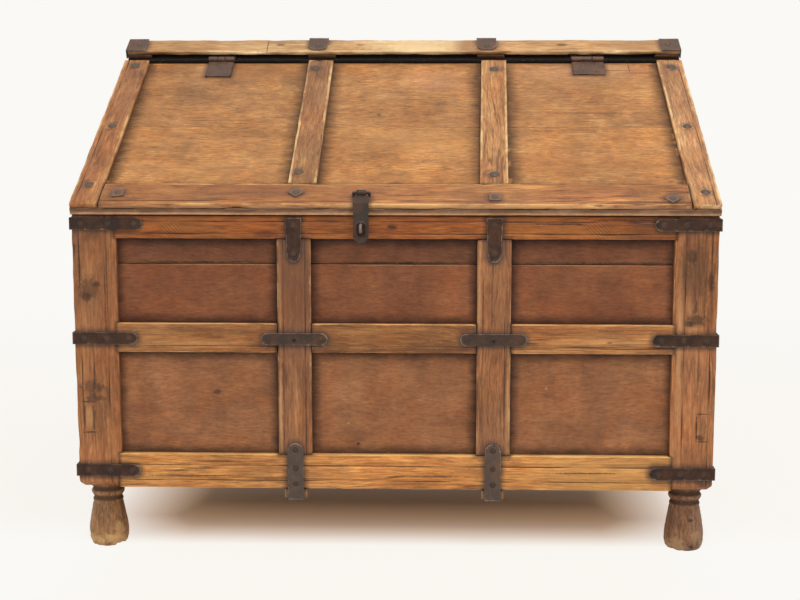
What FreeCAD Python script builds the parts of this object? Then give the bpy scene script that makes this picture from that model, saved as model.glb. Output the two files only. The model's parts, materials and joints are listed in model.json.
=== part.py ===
# Dowry chest on four turned feet: a joined frame with boards behind it, a sloping lid
# hinged under a narrow fixed strip at the back, and hand-forged iron straps and hasp.
import FreeCAD, Part
import math
import os
import re

import Sketcher

# Driving sizes in millimetres, slopes in degrees
sizes = {
    # Carcase
    "carcase_width": 1000, "carcase_depth": 500, "plane_height": 535, "lid_slope": 27,
    "foot_height": 100, "foot_radius": 32, "foot_inset": 38, "foot_root": 5,
    "post_width": 65, "post_depth": 70,
    "rail_thickness": 30, "bottom_rail_height": 55, "top_rail_height": 39, "back_top_rail_height": 52,
    "middle_rail_level": 317.5, "middle_rail_height": 46, "back_rail_rise": 112, "batten_thickness": 12,
    "muntin_width": 53, "muntin_x": 155, "side_muntin_width": 50, "sloped_rail_height": 45,
    "panel_thickness": 12, "groove_depth": 10, "joint_gap": 0.2, "rest_gap": 0.3, "front_gap": 3,
    "tenon_length": 30, "tenon_thickness": 12, "tenon_setback": 9, "tenon_shoulder": 12,
    "tenon_root": 6, "sloped_tenon_height": 22,
    "low_seam_rise": 22.5, "high_seam_drop": 79, "back_seam_drop": 128.8,
    "bearer_width": 35, "bearer_height": 15, "floor_thickness": 12, "cut_overrun": 40,
    # Fixed roof behind the lid
    "roof_length": 53.652, "block_width": 45, "inner_block_width": 50, "block_thickness": 7,
    "strip_thickness": 8, "strip_setback": 12.5,
    "corner_plate_width": 34, "plate_thickness": 2,
    # Lid
    "lid_overhang": 4, "board_thickness": 11, "board_overlength": 4,
    "lid_seam_level": 262, "lid_stile_width": 45, "lid_muntin_width": 45, "left_muntin_x": -145,
    "right_muntin_x": 160, "lid_rail_width": 62, "lid_batten_thickness": 9,
    # Hinges
    "left_hinge_x": -326, "left_hinge_width": 46, "left_leaf_length": 61,
    "right_hinge_x": 333, "right_hinge_width": 57, "right_leaf_length": 53,
    "fixed_leaf_length": 44, "leaf_thickness": 2, "barrel_radius": 4.5, "pin_radius": 2,
    "pin_clearance": 0.06, "barrel_gap": 0.3, "hinge_gap": 6, "hinge_lift": 5,
    "leaf_nail_radius": 3.2, "leaf_nail_head": 1.6, "leaf_nail_margin": 9,
    # Iron straps
    "strap_width": 19, "strap_thickness": 2.5, "top_strap_drop": 16, "middle_strap_rise": 22,
    "bottom_strap_rise": 28, "corner_strap_length": 100, "crossing_strap_length": 104,
    "short_strap_length": 68, "back_top_strap_drop": 57,
    "muntin_strap_width": 25, "muntin_strap_drop": 69, "muntin_strap_gap": 6, "muntin_strap_rise": 74,
    "under_strap_length": 45, "tongue_x": 153, "tongue_width": 36, "tongue_length": 44,
    "tongue_drop": 80,
    # Nails
    "nail_radius": 4.6, "nail_head": 2.5, "shank_radius": 1.7, "shank_depth": 9, "punch_gap": 0.1,
    "lid_nail_radius": 8, "lid_nail_head": 3, "lid_shank_depth": 15,
    "washer_size": 19, "washer_thickness": 1.6, "washer_nail_radius": 5.5,
    # Hasp and staples
    "hasp_x": -50, "hasp_width": 24, "hasp_thickness": 3, "hasp_clearance": 0.8,
    "hasp_pivot_level": 24, "hasp_pivot_lift": 6, "hasp_drop": 43.5, "hasp_neck_gap": 1.5,
    "slot_width": 14.5, "slot_height": 22, "slot_rise": 9.5, "knuckle_width": 15,
    "knuckle_wall": 2.6, "wire_radius": 2.3, "loop_radius": 5.2, "staple_drop": 20.5,
    "staple_reach": 30, "staple_root": 20, "pivot_staple_width": 24, "pivot_staple_root": 14,
}

# Lengths that follow from the driving sizes
derived = {
    "half_width": "carcase_width / 2",
    "back_reach": "strap_thickness + nail_head",
    "front": "(staple_reach - carcase_depth - back_reach) / 2",
    "back": "front + carcase_depth",
    "nose_y": "front - lid_overhang",
    "nose_z": "plane_height - lid_overhang * tan(lid_slope)",
    "slope_end": "(carcase_depth + lid_overhang) / cos(lid_slope)",
    "back_plane_height": "plane_height + carcase_depth * tan(lid_slope)",
    "post_inner_x": "half_width - post_width",
    "back_side_y": "back - post_depth - tenon_root",
    "rail_inner_x": "half_width - rail_thickness",
    "front_post_back": "front + post_depth",
    "back_post_front": "back - post_depth",
    "bottom_rail_top": "foot_height + bottom_rail_height",
    "top_rail_level": "plane_height - top_rail_height",
    "low_seam_level": "middle_rail_level + low_seam_rise",
    "high_seam_level": "plane_height - high_seam_drop",
    "back_seam_level": "back_rail_level - back_seam_drop",
    "back_middle_level": "middle_rail_level + back_rail_rise",
    "back_rail_level": "back_plane_height - back_top_rail_height",
    "front_tenon_level": "plane_height + post_depth * tan(lid_slope) - sloped_rail_height",
    "back_tenon_level": "back_plane_height - post_depth * tan(lid_slope) - sloped_rail_height",
    "board_low": "bottom_rail_top - groove_depth + joint_gap",
    "groove_width": "panel_thickness + 2 * joint_gap",
    "batten_depth": "batten_thickness - joint_gap",
    "bearer_level": "foot_height - bearer_height",
    "lid_thickness": "board_thickness + lid_batten_thickness",
    "roof_start": "slope_end - roof_length",
    "hinge_level": "roof_start - hinge_gap",
    "hinge_height": "board_thickness + hinge_lift",
    "board_end": "hinge_level - hinge_gap",
    "lid_length": "board_end - board_overlength",
    "strip_start": "hinge_level + strip_setback",
    "strip_bottom": "board_thickness + block_thickness",
    "strip_top": "strip_bottom + strip_thickness",
    "bore_radius": "pin_radius + pin_clearance",
    "punch_radius": "shank_radius + punch_gap",
    "pivot_height": "lid_thickness + hasp_pivot_lift",
    "top_strap_level": "plane_height - top_strap_drop",
    "middle_strap_level": "middle_rail_level + middle_strap_rise",
    "bottom_strap_level": "foot_height + bottom_strap_rise",
    "staple_level": "plane_height - staple_drop",
    "loop_y": "front - staple_reach + wire_radius + loop_radius",
    "hasp_back": "nose_y - lid_thickness * sin(lid_slope) - hasp_clearance",
    "hasp_front": "hasp_back - hasp_thickness",
    "hasp_face": "lid_thickness + hasp_clearance",
    "hasp_top_face": "hasp_face + hasp_thickness",
    "hasp_neck_level": "hasp_pivot_level - wire_radius - hasp_neck_gap",
    "hasp_round_level": "plane_height - hasp_drop + hasp_width / 2",
    "slot_low": "plane_height - hasp_drop + slot_rise",
    "knuckle_radius": "wire_radius + pin_clearance + knuckle_wall",
}

# Turned foot from its root down: radius as a share of foot_radius, level as a share of foot_height
foot_shares = [
    (0.84, 1.0), (0.84, 0.955), (0.72, 0.93), (0.78, 0.9), (0.84, 0.87), (0.83, 0.84),
    (0.74, 0.79), (0.69, 0.765), (0.76, 0.745), (0.77, 0.715), (0.74, 0.69), (0.78, 0.66),
    (0.84, 0.56), (0.91, 0.44), (0.97, 0.32), (1.0, 0.22), (0.99, 0.12), (0.93, 0.04), (0.84, 0.0),
]
# Round lid nails: place across as a share of half the width, place up the slope as a share of the lid
lid_nail_shares = [
    (-0.956, 0.953), (-0.954, 0.501), (-0.958, 0.118), (-0.306, 0.932), (-0.306, 0.196),
    (0.328, 0.925), (0.312, 0.186), (0.956, 0.94), (0.956, 0.501), (0.958, 0.078),
]
# Nails on square washers, with each washer's turn as a share of a right angle
lid_washer_shares = [(-0.858, 0.064, 0.1), (-0.304, 0.068, 0.5), (0.31, 0.042, 0.03), (0.852, 0.037, 0.45)]
# Nails of a strap, as shares of its length
corner_nail_shares = [0.16, 0.52, 0.86]
crossing_nail_shares = [-0.4, 0.0, 0.4]
muntin_nail_shares = [0.17, 0.8]
bottom_nail_shares = [0.12, 0.46, 0.86]
tongue_nail_shares = [0.62]
tongue_back_nail_shares = [0.25, 0.75]
leaf_nail_shares = [-0.27, 0.27]
fixed_leaf_share = 0.6
plate_nail_share = 0.6

right_angle = 90
half_turn = 180
full_turn = 360

doc = FreeCAD.newDocument("dowry_chest")
sheet = doc.addObject("Spreadsheet::Sheet", "sheet")
for row, (alias, size) in enumerate(sizes.items(), start=1):
    sheet.set("A%d" % row, alias)
    sheet.set("B%d" % row, str(size))
    sheet.setAlias("B%d" % row, alias)
doc.recompute()

nodes = []


# Plain words become references to the sheet, and derived lengths their formulas
def formula(text):
    def swap(match):
        word = match.group(0)
        if word in sizes:
            return "sheet." + word
        if word in derived:
            return "(" + formula(derived[word]) + ")"
        return word
    return re.sub(r"[a-z][a-z_]+", swap, str(text))


def bind(obj, **properties):
    for name, text in properties.items():
        obj.setExpression(name, formula(text))


# An object's place, turned about one axis where an angle is given
def place(obj, x, y, z, axis=None, angle=None):
    if axis:
        turn = FreeCAD.Rotation(FreeCAD.Vector(*axis), right_angle)
        obj.Placement = FreeCAD.Placement(FreeCAD.Vector(), turn)
        obj.setExpression("Placement.Rotation.Angle", formula(angle))
    for key, text in (("x", x), ("y", y), ("z", z)):
        obj.setExpression("Placement.Base." + key, formula(text))
    return obj


def box(x, y, z, across, deep, high):
    obj = doc.addObject("Part::Box", "box")
    bind(obj, Length=across, Width=deep, Height=high)
    return place(obj, x, y, z)


# Places on the lid's slope: level runs up the slope from the lid's front edge, and
# height stands square to it from the lid's underside
def slope_y(level, height):
    return "nose_y + (%s) * cos(lid_slope) - (%s) * sin(lid_slope)" % (level, height)


def slope_z(level, height):
    return "nose_z + (%s) * sin(lid_slope) + (%s) * cos(lid_slope)" % (level, height)


def on_slope(obj, x, level, height):
    return place(obj, x, slope_y(level, height), slope_z(level, height), (1, 0, 0), "lid_slope")


def slope_box(x, level, height, across, deep, high):
    obj = doc.addObject("Part::Box", "slope_box")
    bind(obj, Length=across, Width=deep, Height=high)
    return on_slope(obj, x, level, height)


def rod(radius, length):
    obj = doc.addObject("Part::Cylinder", "rod")
    bind(obj, Radius=radius, Height=length)
    return obj


def rod_x(radius, length, x, y, z):
    return place(rod(radius, length), x, y, z, (0, 1, 0), right_angle)


def rod_y(radius, length, x, y, z):
    return place(rod(radius, length), x, y, z, (1, 0, 0), -right_angle)


def fuse(*pieces):
    if len(pieces) == 1:
        return pieces[0]
    obj = doc.addObject("Part::MultiFuse", "fuse")
    obj.Shapes = list(pieces)
    obj.Refine = True
    return obj


def cut(base, *tools):
    obj = doc.addObject("Part::Cut", "cut")
    obj.Base = base
    obj.Tool = fuse(*tools)
    return obj


def common(first, second):
    obj = doc.addObject("Part::Common", "common")
    obj.Base = first
    obj.Tool = second
    return obj


# The same piece on the other side of the chest
def mirrored(source):
    obj = doc.addObject("Part::Mirroring", "mirrored")
    obj.Source = source
    obj.Normal = (1, 0, 0)
    return obj


def both_sides(*pieces):
    return [*pieces, *[mirrored(piece) for piece in pieces]]


def node(label, *pieces):
    obj = pieces[0]
    if len(pieces) > 1:
        obj = doc.addObject("Part::Compound", "group")
        obj.Links = list(pieces)
    obj.Label = label
    nodes.append(obj)
    return obj


# A cutter that takes away whatever lies over the slope
def over_slope(height="-rest_gap"):
    return slope_box("-half_width - cut_overrun", "-cut_overrun", height, "carcase_width + 2 * cut_overrun",
                     "slope_end + 2 * cut_overrun", "carcase_depth")


# A box a little larger than a tenon all round, to cut its mortise
def mortise(tenon):
    x, y, z, across, deep, high = tenon
    return box("(%s) - joint_gap" % x, "(%s) - joint_gap" % y, "(%s) - joint_gap" % z,
               "(%s) + 2 * joint_gap" % across, "(%s) + 2 * joint_gap" % deep,
               "(%s) + 2 * joint_gap" % high)


# A closed outline in a body's own plane, each corner held to the sheet's sizes
def outline(body, plane_name, corners, name):
    sketch = body.newObject("Sketcher::SketchObject", name)
    plane = [item for item in body.Origin.OriginFeatures if item.Role == plane_name][0]
    sketch.AttachmentSupport = [(plane, "")]
    sketch.MapMode = "FlatFace"
    count = len(corners)
    rough = [FreeCAD.Vector(math.cos(math.tau * i / count), math.sin(math.tau * i / count), 0)
             for i in range(count)]
    for i in range(count):
        sketch.addGeometry(Part.LineSegment(rough[i], rough[(i + 1) % count]), False)
    for i in range(count):
        sketch.addConstraint(Sketcher.Constraint("Coincident", i, 2, (i + 1) % count, 1))
    for i, (across, up) in enumerate(corners):
        for kind, text, start in (("DistanceX", across, rough[i].x), ("DistanceY", up, rough[i].y)):
            held = sketch.addConstraint(Sketcher.Constraint(kind, -1, 1, i, 1, start))
            sketch.setExpression("Constraints[%d]" % held, formula(text))
    return sketch


# A square post and the foot turned on its lower end, drawn about the foot's axis
def post_with_foot(name, near, far, y, top):
    body = doc.addObject("PartDesign::Body", name)
    left, right = "-foot_inset", "post_width - foot_inset"
    corners = [(left, near), (right, near), (right, far), (left, far)]
    square = outline(body, "XY_Plane", corners, name + "_square")
    square.setExpression("AttachmentOffset.Base.z", formula("foot_height"))
    pad = body.newObject("PartDesign::Pad", name + "_length")
    pad.Profile = square
    bind(pad, Length="%s - foot_height" % top)
    root_level = "foot_height + foot_root"
    profile = [("0", root_level), ("foot_radius * %s" % foot_shares[0][0], root_level)]
    profile += [("foot_radius * %s" % radius, "foot_height * %s" % level) for radius, level in foot_shares]
    profile += [("0", "0")]
    turning = outline(body, "XZ_Plane", profile, name + "_turning")
    foot = body.newObject("PartDesign::Revolution", name + "_foot")
    foot.Profile = turning
    foot.ReferenceAxis = (turning, ["V_Axis"])
    foot.Angle = full_turn
    body.Tip = foot
    return place(body, "-half_width + foot_inset", y, "0")


# Tenons on the left side: cross tenons end the rails that run across the chest
def cross_tenon(y, level, height):
    return ("-post_inner_x - tenon_length", y, "(%s) + tenon_shoulder" % level, "tenon_length + tenon_root",
            "tenon_thickness", "(%s) - 2 * tenon_shoulder" % height)


def side_tenon(y, level, height):
    return ("-half_width + tenon_setback", y, level, "tenon_thickness", "tenon_length + tenon_root", height)


front_tenon_y = "front + tenon_setback"
back_tenon_y = "back - tenon_setback - tenon_thickness"
front_side_y = "front_post_back - tenon_length"
low_tenon_level = "foot_height + tenon_shoulder"
low_tenon_height = "bottom_rail_height - 2 * tenon_shoulder"
front_cross = [cross_tenon(front_tenon_y, "foot_height", "bottom_rail_height"),
               cross_tenon(front_tenon_y, "top_rail_level", "top_rail_height")]
back_cross = [cross_tenon(back_tenon_y, "foot_height", "bottom_rail_height"),
              cross_tenon(back_tenon_y, "back_rail_level", "back_top_rail_height")]
front_side = [side_tenon(front_side_y, low_tenon_level, low_tenon_height),
              side_tenon(front_side_y, "front_tenon_level", "sloped_tenon_height")]
back_side = [side_tenon("back_side_y", low_tenon_level, low_tenon_height),
             side_tenon("back_side_y", "back_tenon_level", "sloped_tenon_height")]

# Posts, with mortises for the rails and grooves for the boards
cross_groove_x = "-post_inner_x - groove_depth"
side_groove_x = "-half_width + batten_depth"
groove_low = "bottom_rail_top - groove_depth"


def post_grooves(cross_y, cross_top, side_y, side_top):
    return [
        box(cross_groove_x, cross_y, groove_low, "groove_depth + cut_overrun", "groove_width",
            "%s - (%s)" % (cross_top, groove_low)),
        box(side_groove_x, side_y, groove_low, "groove_width", "groove_depth + cut_overrun",
            "%s - (%s)" % (side_top, groove_low)),
    ]


front_body = post_with_foot("front_post", "-foot_inset", "post_depth - foot_inset", "front + foot_inset",
                            "(plane_height + post_depth * tan(lid_slope))")
front_left_post = cut(
    front_body, over_slope("-front_gap"), *[mortise(tenon) for tenon in front_cross + front_side],
    *post_grooves("front + batten_depth", "(top_rail_level + groove_depth)",
                  "front_post_back - groove_depth", "front_tenon_level"))
back_body = post_with_foot("back_post", "foot_inset - post_depth", "foot_inset", "back - foot_inset",
                           "back_plane_height")
back_left_post = cut(
    back_body, over_slope(), *[mortise(tenon) for tenon in back_cross + back_side],
    *post_grooves("back - batten_depth - groove_width", "(back_rail_level + groove_depth)",
                  "back_post_front - cut_overrun", "back_tenon_level"))
node("front_left_post", front_left_post)
node("front_right_post", mirrored(front_left_post))
node("back_left_post", back_left_post)
node("back_right_post", mirrored(back_left_post))


# A rail across the chest, tenoned into both posts, grooved along one edge for the boards
def cross_rail(y, level, height, groove_y, groove_level, tenon):
    left_end = box(*tenon)
    bar = fuse(box("-post_inner_x", y, level, "2 * post_inner_x", "rail_thickness", height),
               *both_sides(left_end))
    return cut(bar, box("-half_width", groove_y, groove_level, "carcase_width", "groove_width",
                        "groove_depth + cut_overrun"))


front_groove_y = "front + batten_depth"
back_groove_y = "back - batten_depth - groove_width"
back_rail_y = "back - rail_thickness"
node("front_bottom_rail", cross_rail("front", "foot_height", "bottom_rail_height", front_groove_y,
                                     groove_low, front_cross[0]))
node("front_top_rail", cut(cross_rail("front", "top_rail_level", "top_rail_height + cut_overrun",
                                      front_groove_y, "top_rail_level - cut_overrun", front_cross[1]),
                           over_slope("-front_gap")))
node("back_bottom_rail", cross_rail(back_rail_y, "foot_height", "bottom_rail_height", back_groove_y,
                                    groove_low, back_cross[0]))
node("back_top_rail", cut(cross_rail(back_rail_y, "back_rail_level", "back_top_rail_height", back_groove_y,
                                     "back_rail_level - cut_overrun", back_cross[1]), over_slope()))


# Muntins and middle rails lie on the boards' outer face, flush with the posts
def framing(y, rail_level, rail_height, low, high):
    muntin = box("-muntin_x - muntin_width / 2", y, low, "muntin_width", "batten_depth",
                 "%s - (%s)" % (high, low))
    outer = box("-post_inner_x", y, rail_level, "post_inner_x - muntin_x - muntin_width / 2",
                "batten_depth", rail_height)
    middle = box("-muntin_x + muntin_width / 2", y, rail_level, "2 * muntin_x - muntin_width",
                 "batten_depth", rail_height)
    return both_sides(muntin), [*both_sides(outer), middle]


muntins, rails = framing("front", "middle_rail_level", "middle_rail_height", "bottom_rail_top",
                         "top_rail_level")
node("front_muntins", *muntins)
node("front_middle_rails", *rails)
muntins, rails = framing("back - batten_depth", "back_middle_level", "middle_rail_height",
                         "bottom_rail_top", "back_rail_level")
node("back_muntins", *muntins)
node("back_middle_rails", *rails)


# Boards that run the full width behind the frame, housed in the grooves round them
def cross_boards(y, seams):
    return [box("%s + joint_gap" % cross_groove_x, y, low, "2 * (post_inner_x + groove_depth - joint_gap)",
                "panel_thickness", "%s - (%s)" % (high, low)) for low, high in zip(seams, seams[1:])]


front_top_edge = "(top_rail_level + groove_depth - joint_gap)"
low_board, middle_board, top_board = cross_boards(
    "front + batten_thickness", ["board_low", "low_seam_level", "high_seam_level", front_top_edge])
node("front_lower_board", low_board)
node("front_middle_board", middle_board)
node("front_top_board", top_board)
node("back_boards", *cross_boards(
    "back - batten_thickness - panel_thickness",
    ["board_low", "low_seam_level", "high_seam_level", "back_seam_level",
     "(back_rail_level + groove_depth - joint_gap)"]))

# Side frames
span = "carcase_depth - 2 * post_depth"
left_bottom = cut(
    fuse(box("-half_width", "front_post_back", "foot_height", "rail_thickness", span,
             "bottom_rail_height"),
         box(*front_side[0]), box(*back_side[0])),
    box(side_groove_x, "front", groove_low, "groove_width", "carcase_depth", "groove_depth + cut_overrun"))
node("left_bottom_rail", left_bottom)
node("right_bottom_rail", mirrored(left_bottom))

sloped_bar = common(
    slope_box("-half_width", "0", "-sloped_rail_height", "rail_thickness", "slope_end",
              "sloped_rail_height - rest_gap"),
    box("-half_width", "front_post_back", "plane_height - cut_overrun", "rail_thickness", span,
        "carcase_depth"))
left_sloped = fuse(
    cut(sloped_bar, slope_box(side_groove_x, "0", "-sloped_rail_height - cut_overrun", "groove_width",
                              "slope_end", "cut_overrun + groove_depth")),
    box(*front_side[1]), box(*back_side[1]))
node("left_sloped_rail", left_sloped)
node("right_sloped_rail", mirrored(left_sloped))

side_middle_y = "front + carcase_depth / 2 - side_muntin_width / 2"
half_span = "(carcase_depth - side_muntin_width) / 2 - post_depth"
left_rails = [box("-half_width", y, "middle_rail_level", "batten_depth", half_span, "middle_rail_height")
              for y in ("front_post_back", side_middle_y + " + side_muntin_width")]
left_muntin = cut(box("-half_width", side_middle_y, "bottom_rail_top", "batten_depth", "side_muntin_width",
                      "carcase_depth"), over_slope("-sloped_rail_height"))
node("side_middle_rails", *both_sides(*left_rails))
node("side_muntins", *both_sides(left_muntin))

board_start = "front_post_back - groove_depth + joint_gap"
board_run = "%s + 2 * (groove_depth - joint_gap)" % span
tenon_notches = [
    ("front", "front_tenon_level", "post_depth + tenon_root + joint_gap"),
    ("back_side_y - joint_gap", "back_tenon_level", "post_depth"),
]


# A side board, cut off under the sloped rail and clear of that rail's tenons
def side_board(low, high):
    board = box("-half_width + batten_thickness", board_start, low, "panel_thickness", board_run,
                "%s - (%s)" % (high, low))
    notches = [box("-half_width", y, "%s - joint_gap" % level, "rail_thickness", deep, "carcase_depth")
               for y, level, deep in tenon_notches]
    return cut(board, over_slope("-sloped_rail_height + groove_depth - joint_gap"), *notches)


side_seams = ["board_low", "low_seam_level", "high_seam_level", "back_seam_level", "back_plane_height"]
left_boards = [side_board(low, high) for low, high in zip(side_seams, side_seams[1:])]
node("left_side_boards", *left_boards)
node("right_side_boards", *[mirrored(board) for board in left_boards])

# Floor on two bearers that run under the rails
bearer = box("-muntin_x - bearer_width / 2", "front", "bearer_level", "bearer_width", "carcase_depth",
             "bearer_height")
node("bottom_bearers", *both_sides(bearer))
floor_boards = [
    box("-post_inner_x + joint_gap", y, "foot_height", "2 * (post_inner_x - joint_gap)",
        "post_depth - rail_thickness - joint_gap", "floor_thickness")
    for y in ("front + rail_thickness + joint_gap", "back_post_front")]
floor_count = 3
floor_step = "((%s - joint_gap) / %d)" % (span, floor_count)
floor_boards += [
    box("-rail_inner_x + joint_gap", "front_post_back + joint_gap + %d * %s" % (i, floor_step), "foot_height",
        "2 * (rail_inner_x - joint_gap)", "%s - joint_gap" % floor_step, "floor_thickness")
    for i in range(floor_count)]
node("bottom_boards", *floor_boards)

# Fixed roof behind the lid: a board, blocks on it and the strip that they carry
muntin_places = ("left_muntin_x", "right_muntin_x")
node("roof_board", slope_box("-half_width", "roof_start", "0", "carcase_width",
                             "slope_end - roof_start", "board_thickness"))


def strip_block(x, width):
    return slope_box(x, "strip_start", "board_thickness", width, "slope_end - strip_start", "block_thickness")


node("strip_blocks", *both_sides(strip_block("-half_width", "block_width")),
     *[strip_block(x + " - inner_block_width / 2", "inner_block_width") for x in muntin_places])
node("top_strip", slope_box("-half_width", "strip_start", "strip_bottom", "carcase_width",
                            "slope_end - strip_start", "strip_thickness"))

# Lid: two boards under a frame of battens
node("lid_lower_board", slope_box("-half_width", "0", "0", "carcase_width", "lid_seam_level",
                                  "board_thickness"))
node("lid_upper_board", slope_box("-half_width", "lid_seam_level", "0", "carcase_width",
                                  "board_end - lid_seam_level", "board_thickness"))
left_stile = slope_box("-half_width", "0", "board_thickness", "lid_stile_width", "lid_length",
                       "lid_batten_thickness")
node("lid_left_stile", left_stile)
node("lid_right_stile", mirrored(left_stile))
node("lid_front_rail", slope_box("-half_width + lid_stile_width", "0", "board_thickness",
                                 "carcase_width - 2 * lid_stile_width", "lid_rail_width",
                                 "lid_batten_thickness"))
node("lid_muntins", *[slope_box(x + " - lid_muntin_width / 2", "lid_rail_width", "board_thickness",
                                "lid_muntin_width", "lid_length - lid_rail_width", "lid_batten_thickness")
                      for x in muntin_places])


# A forged nail with a domed head, standing on the origin with its shank below
def nail(head_radius="nail_radius", head_height="nail_head", depth="shank_depth"):
    ball = "((%s)^2 + (%s)^2) / (2 * (%s))" % (head_radius, head_height, head_height)
    head = doc.addObject("Part::Sphere", "head")
    bind(head, Radius=ball, Angle1="asin((%s - (%s)) / (%s))" % (ball, head_height, ball))
    place(head, "0", "0", "%s - %s" % (head_height, ball))
    shank = place(rod("shank_radius", depth), "0", "0", "-(%s)" % depth)
    return fuse(head, shank)


# Nails and the holes punched for them, by the way that the head faces
facings = {
    "front": ((1, 0, 0), right_angle),
    "back": ((1, 0, 0), -right_angle),
    "left": ((0, 1, 0), -right_angle),
    "under": ((1, 0, 0), half_turn),
}


def nail_at(facing, x, y, z, **options):
    axis, angle = facings[facing]
    return place(nail(**options), x, y, z, axis, angle)


def punch_at(facing, x, y, z):
    axis, angle = facings[facing]
    outward = rod("punch_radius", "cut_overrun")
    inward = place(rod("punch_radius", "cut_overrun"), "0", "0", "-cut_overrun")
    return place(fuse(outward, inward), x, y, z, axis, angle)


# A strap's places are listed once and serve its nails and its holes
def fasten(strap, facing, places, nails):
    nails += [nail_at(facing, *spot) for spot in places]
    return cut(strap, *[punch_at(facing, *spot) for spot in places])


half_strap = "strap_width / 2"
front_face = "front - strap_thickness"
side_face = "-half_width - strap_thickness"


# Straps that wrap the left-hand corners, given by how far each runs along the side
def wrapped_strap(level, cross_y, side_y, side_box_y, side_length):
    low = "%s - %s" % (level, half_strap)
    cross_end = "corner_strap_length - %s" % half_strap
    return fuse(
        box(side_face, cross_y, low, "strap_thickness + %s" % cross_end, "strap_thickness", "strap_width"),
        rod_y(half_strap, "strap_thickness", "-half_width + %s" % cross_end, cross_y, level),
        box(side_face, side_box_y, low, "strap_thickness",
            "strap_thickness + %s - %s" % (side_length, half_strap), "strap_width"),
        rod_x(half_strap, "strap_thickness", side_face, side_y, level))


def front_corner_strap(level, side_length):
    strap = wrapped_strap(level, front_face, "front + %s - %s" % (side_length, half_strap), front_face,
                          side_length)
    strap = fasten(strap, "front", [("-half_width + corner_strap_length * %s" % share, front_face, level)
                                    for share in corner_nail_shares], front_nails)
    return fasten(strap, "left", [(side_face, "front + %s * %s" % (side_length, share), level)
                                  for share in corner_nail_shares], left_nails)


def back_corner_strap(level, side_length):
    side_y = "back - %s + %s" % (side_length, half_strap)
    strap = wrapped_strap(level, "back", side_y, side_y, side_length)
    strap = fasten(strap, "back", [("-half_width + corner_strap_length * %s" % share,
                                    "back + strap_thickness", level)
                                   for share in corner_nail_shares], back_nails)
    return fasten(strap, "left", [(side_face, "back - %s * %s" % (side_length, share), level)
                                  for share in corner_nail_shares], left_nails)


front_nails, back_nails, left_nails = [], [], []
front_levels = [("top_strap_level", "short_strap_length"),
                ("middle_strap_level", "corner_strap_length"),
                ("bottom_strap_level", "corner_strap_length")]
back_levels = [("(back_plane_height - back_top_strap_drop)", "short_strap_length"),
               ("(back_middle_level + middle_rail_height / 2)", "short_strap_length"),
               ("bottom_strap_level", "corner_strap_length")]
front_straps = [front_corner_strap(level, length) for level, length in front_levels]
back_straps = [back_corner_strap(level, length) for level, length in back_levels]
node("left_front_straps", *front_straps)
node("right_front_straps", *[mirrored(strap) for strap in front_straps])
node("left_back_straps", *back_straps)
node("right_back_straps", *[mirrored(strap) for strap in back_straps])

# A strap over each crossing of muntin and middle rail, round at both ends
bar_length = "crossing_strap_length - strap_width"
crossing = fuse(
    box("-muntin_x - (%s) / 2" % bar_length, front_face, "middle_strap_level - %s" % half_strap, bar_length,
        "strap_thickness", "strap_width"),
    *[rod_y(half_strap, "strap_thickness", "-muntin_x %s (%s) / 2" % (sign, bar_length), front_face,
            "middle_strap_level") for sign in "+-"])
crossing = fasten(crossing, "front", [("-muntin_x + crossing_strap_length * %s" % share, front_face,
                                       "middle_strap_level") for share in crossing_nail_shares], front_nails)
node("crossing_straps", *both_sides(crossing))

# Straps from the top rail down onto each muntin
round_radius = "muntin_strap_width / 2"
strap_top = "(plane_height - muntin_strap_gap)"
round_level = "(%s - muntin_strap_drop + %s)" % (strap_top, round_radius)
top_strap = fuse(
    box("-muntin_x - %s" % round_radius, front_face, round_level, "muntin_strap_width", "strap_thickness",
        "%s - %s" % (strap_top, round_level)),
    rod_y(round_radius, "strap_thickness", "-muntin_x", front_face, round_level))
top_spots = [("-muntin_x", front_face, "%s - muntin_strap_drop * %s" % (strap_top, share))
             for share in muntin_nail_shares]
top_strap = fasten(top_strap, "front", top_spots, front_nails)
node("muntin_top_straps", *both_sides(top_strap))

# Straps that come up from under the bearers over the bottom rail
under_level = "bearer_level - strap_thickness"
round_level = "(foot_height + muntin_strap_rise - %s)" % round_radius
bottom_strap = fuse(
    box("-muntin_x - %s" % round_radius, front_face, under_level, "muntin_strap_width", "strap_thickness",
        "%s - (%s)" % (round_level, under_level)),
    rod_y(round_radius, "strap_thickness", "-muntin_x", front_face, round_level),
    box("-muntin_x - %s" % round_radius, front_face, under_level, "muntin_strap_width",
        "under_strap_length", "strap_thickness"))
bottom_spots = [("-muntin_x", front_face, "foot_height + muntin_strap_rise * %s" % share)
                for share in bottom_nail_shares]
bottom_strap = fasten(bottom_strap, "front", bottom_spots, front_nails)
under_nails = []
bottom_strap = fasten(bottom_strap, "under", [("-muntin_x", "front + under_strap_length / 2", under_level)],
                      under_nails)
node("muntin_bottom_straps", *both_sides(bottom_strap))
node("front_strap_nails", *both_sides(*front_nails, *under_nails))
node("left_side_nails", *left_nails)
node("right_side_nails", *[mirrored(item) for item in left_nails])

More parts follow.
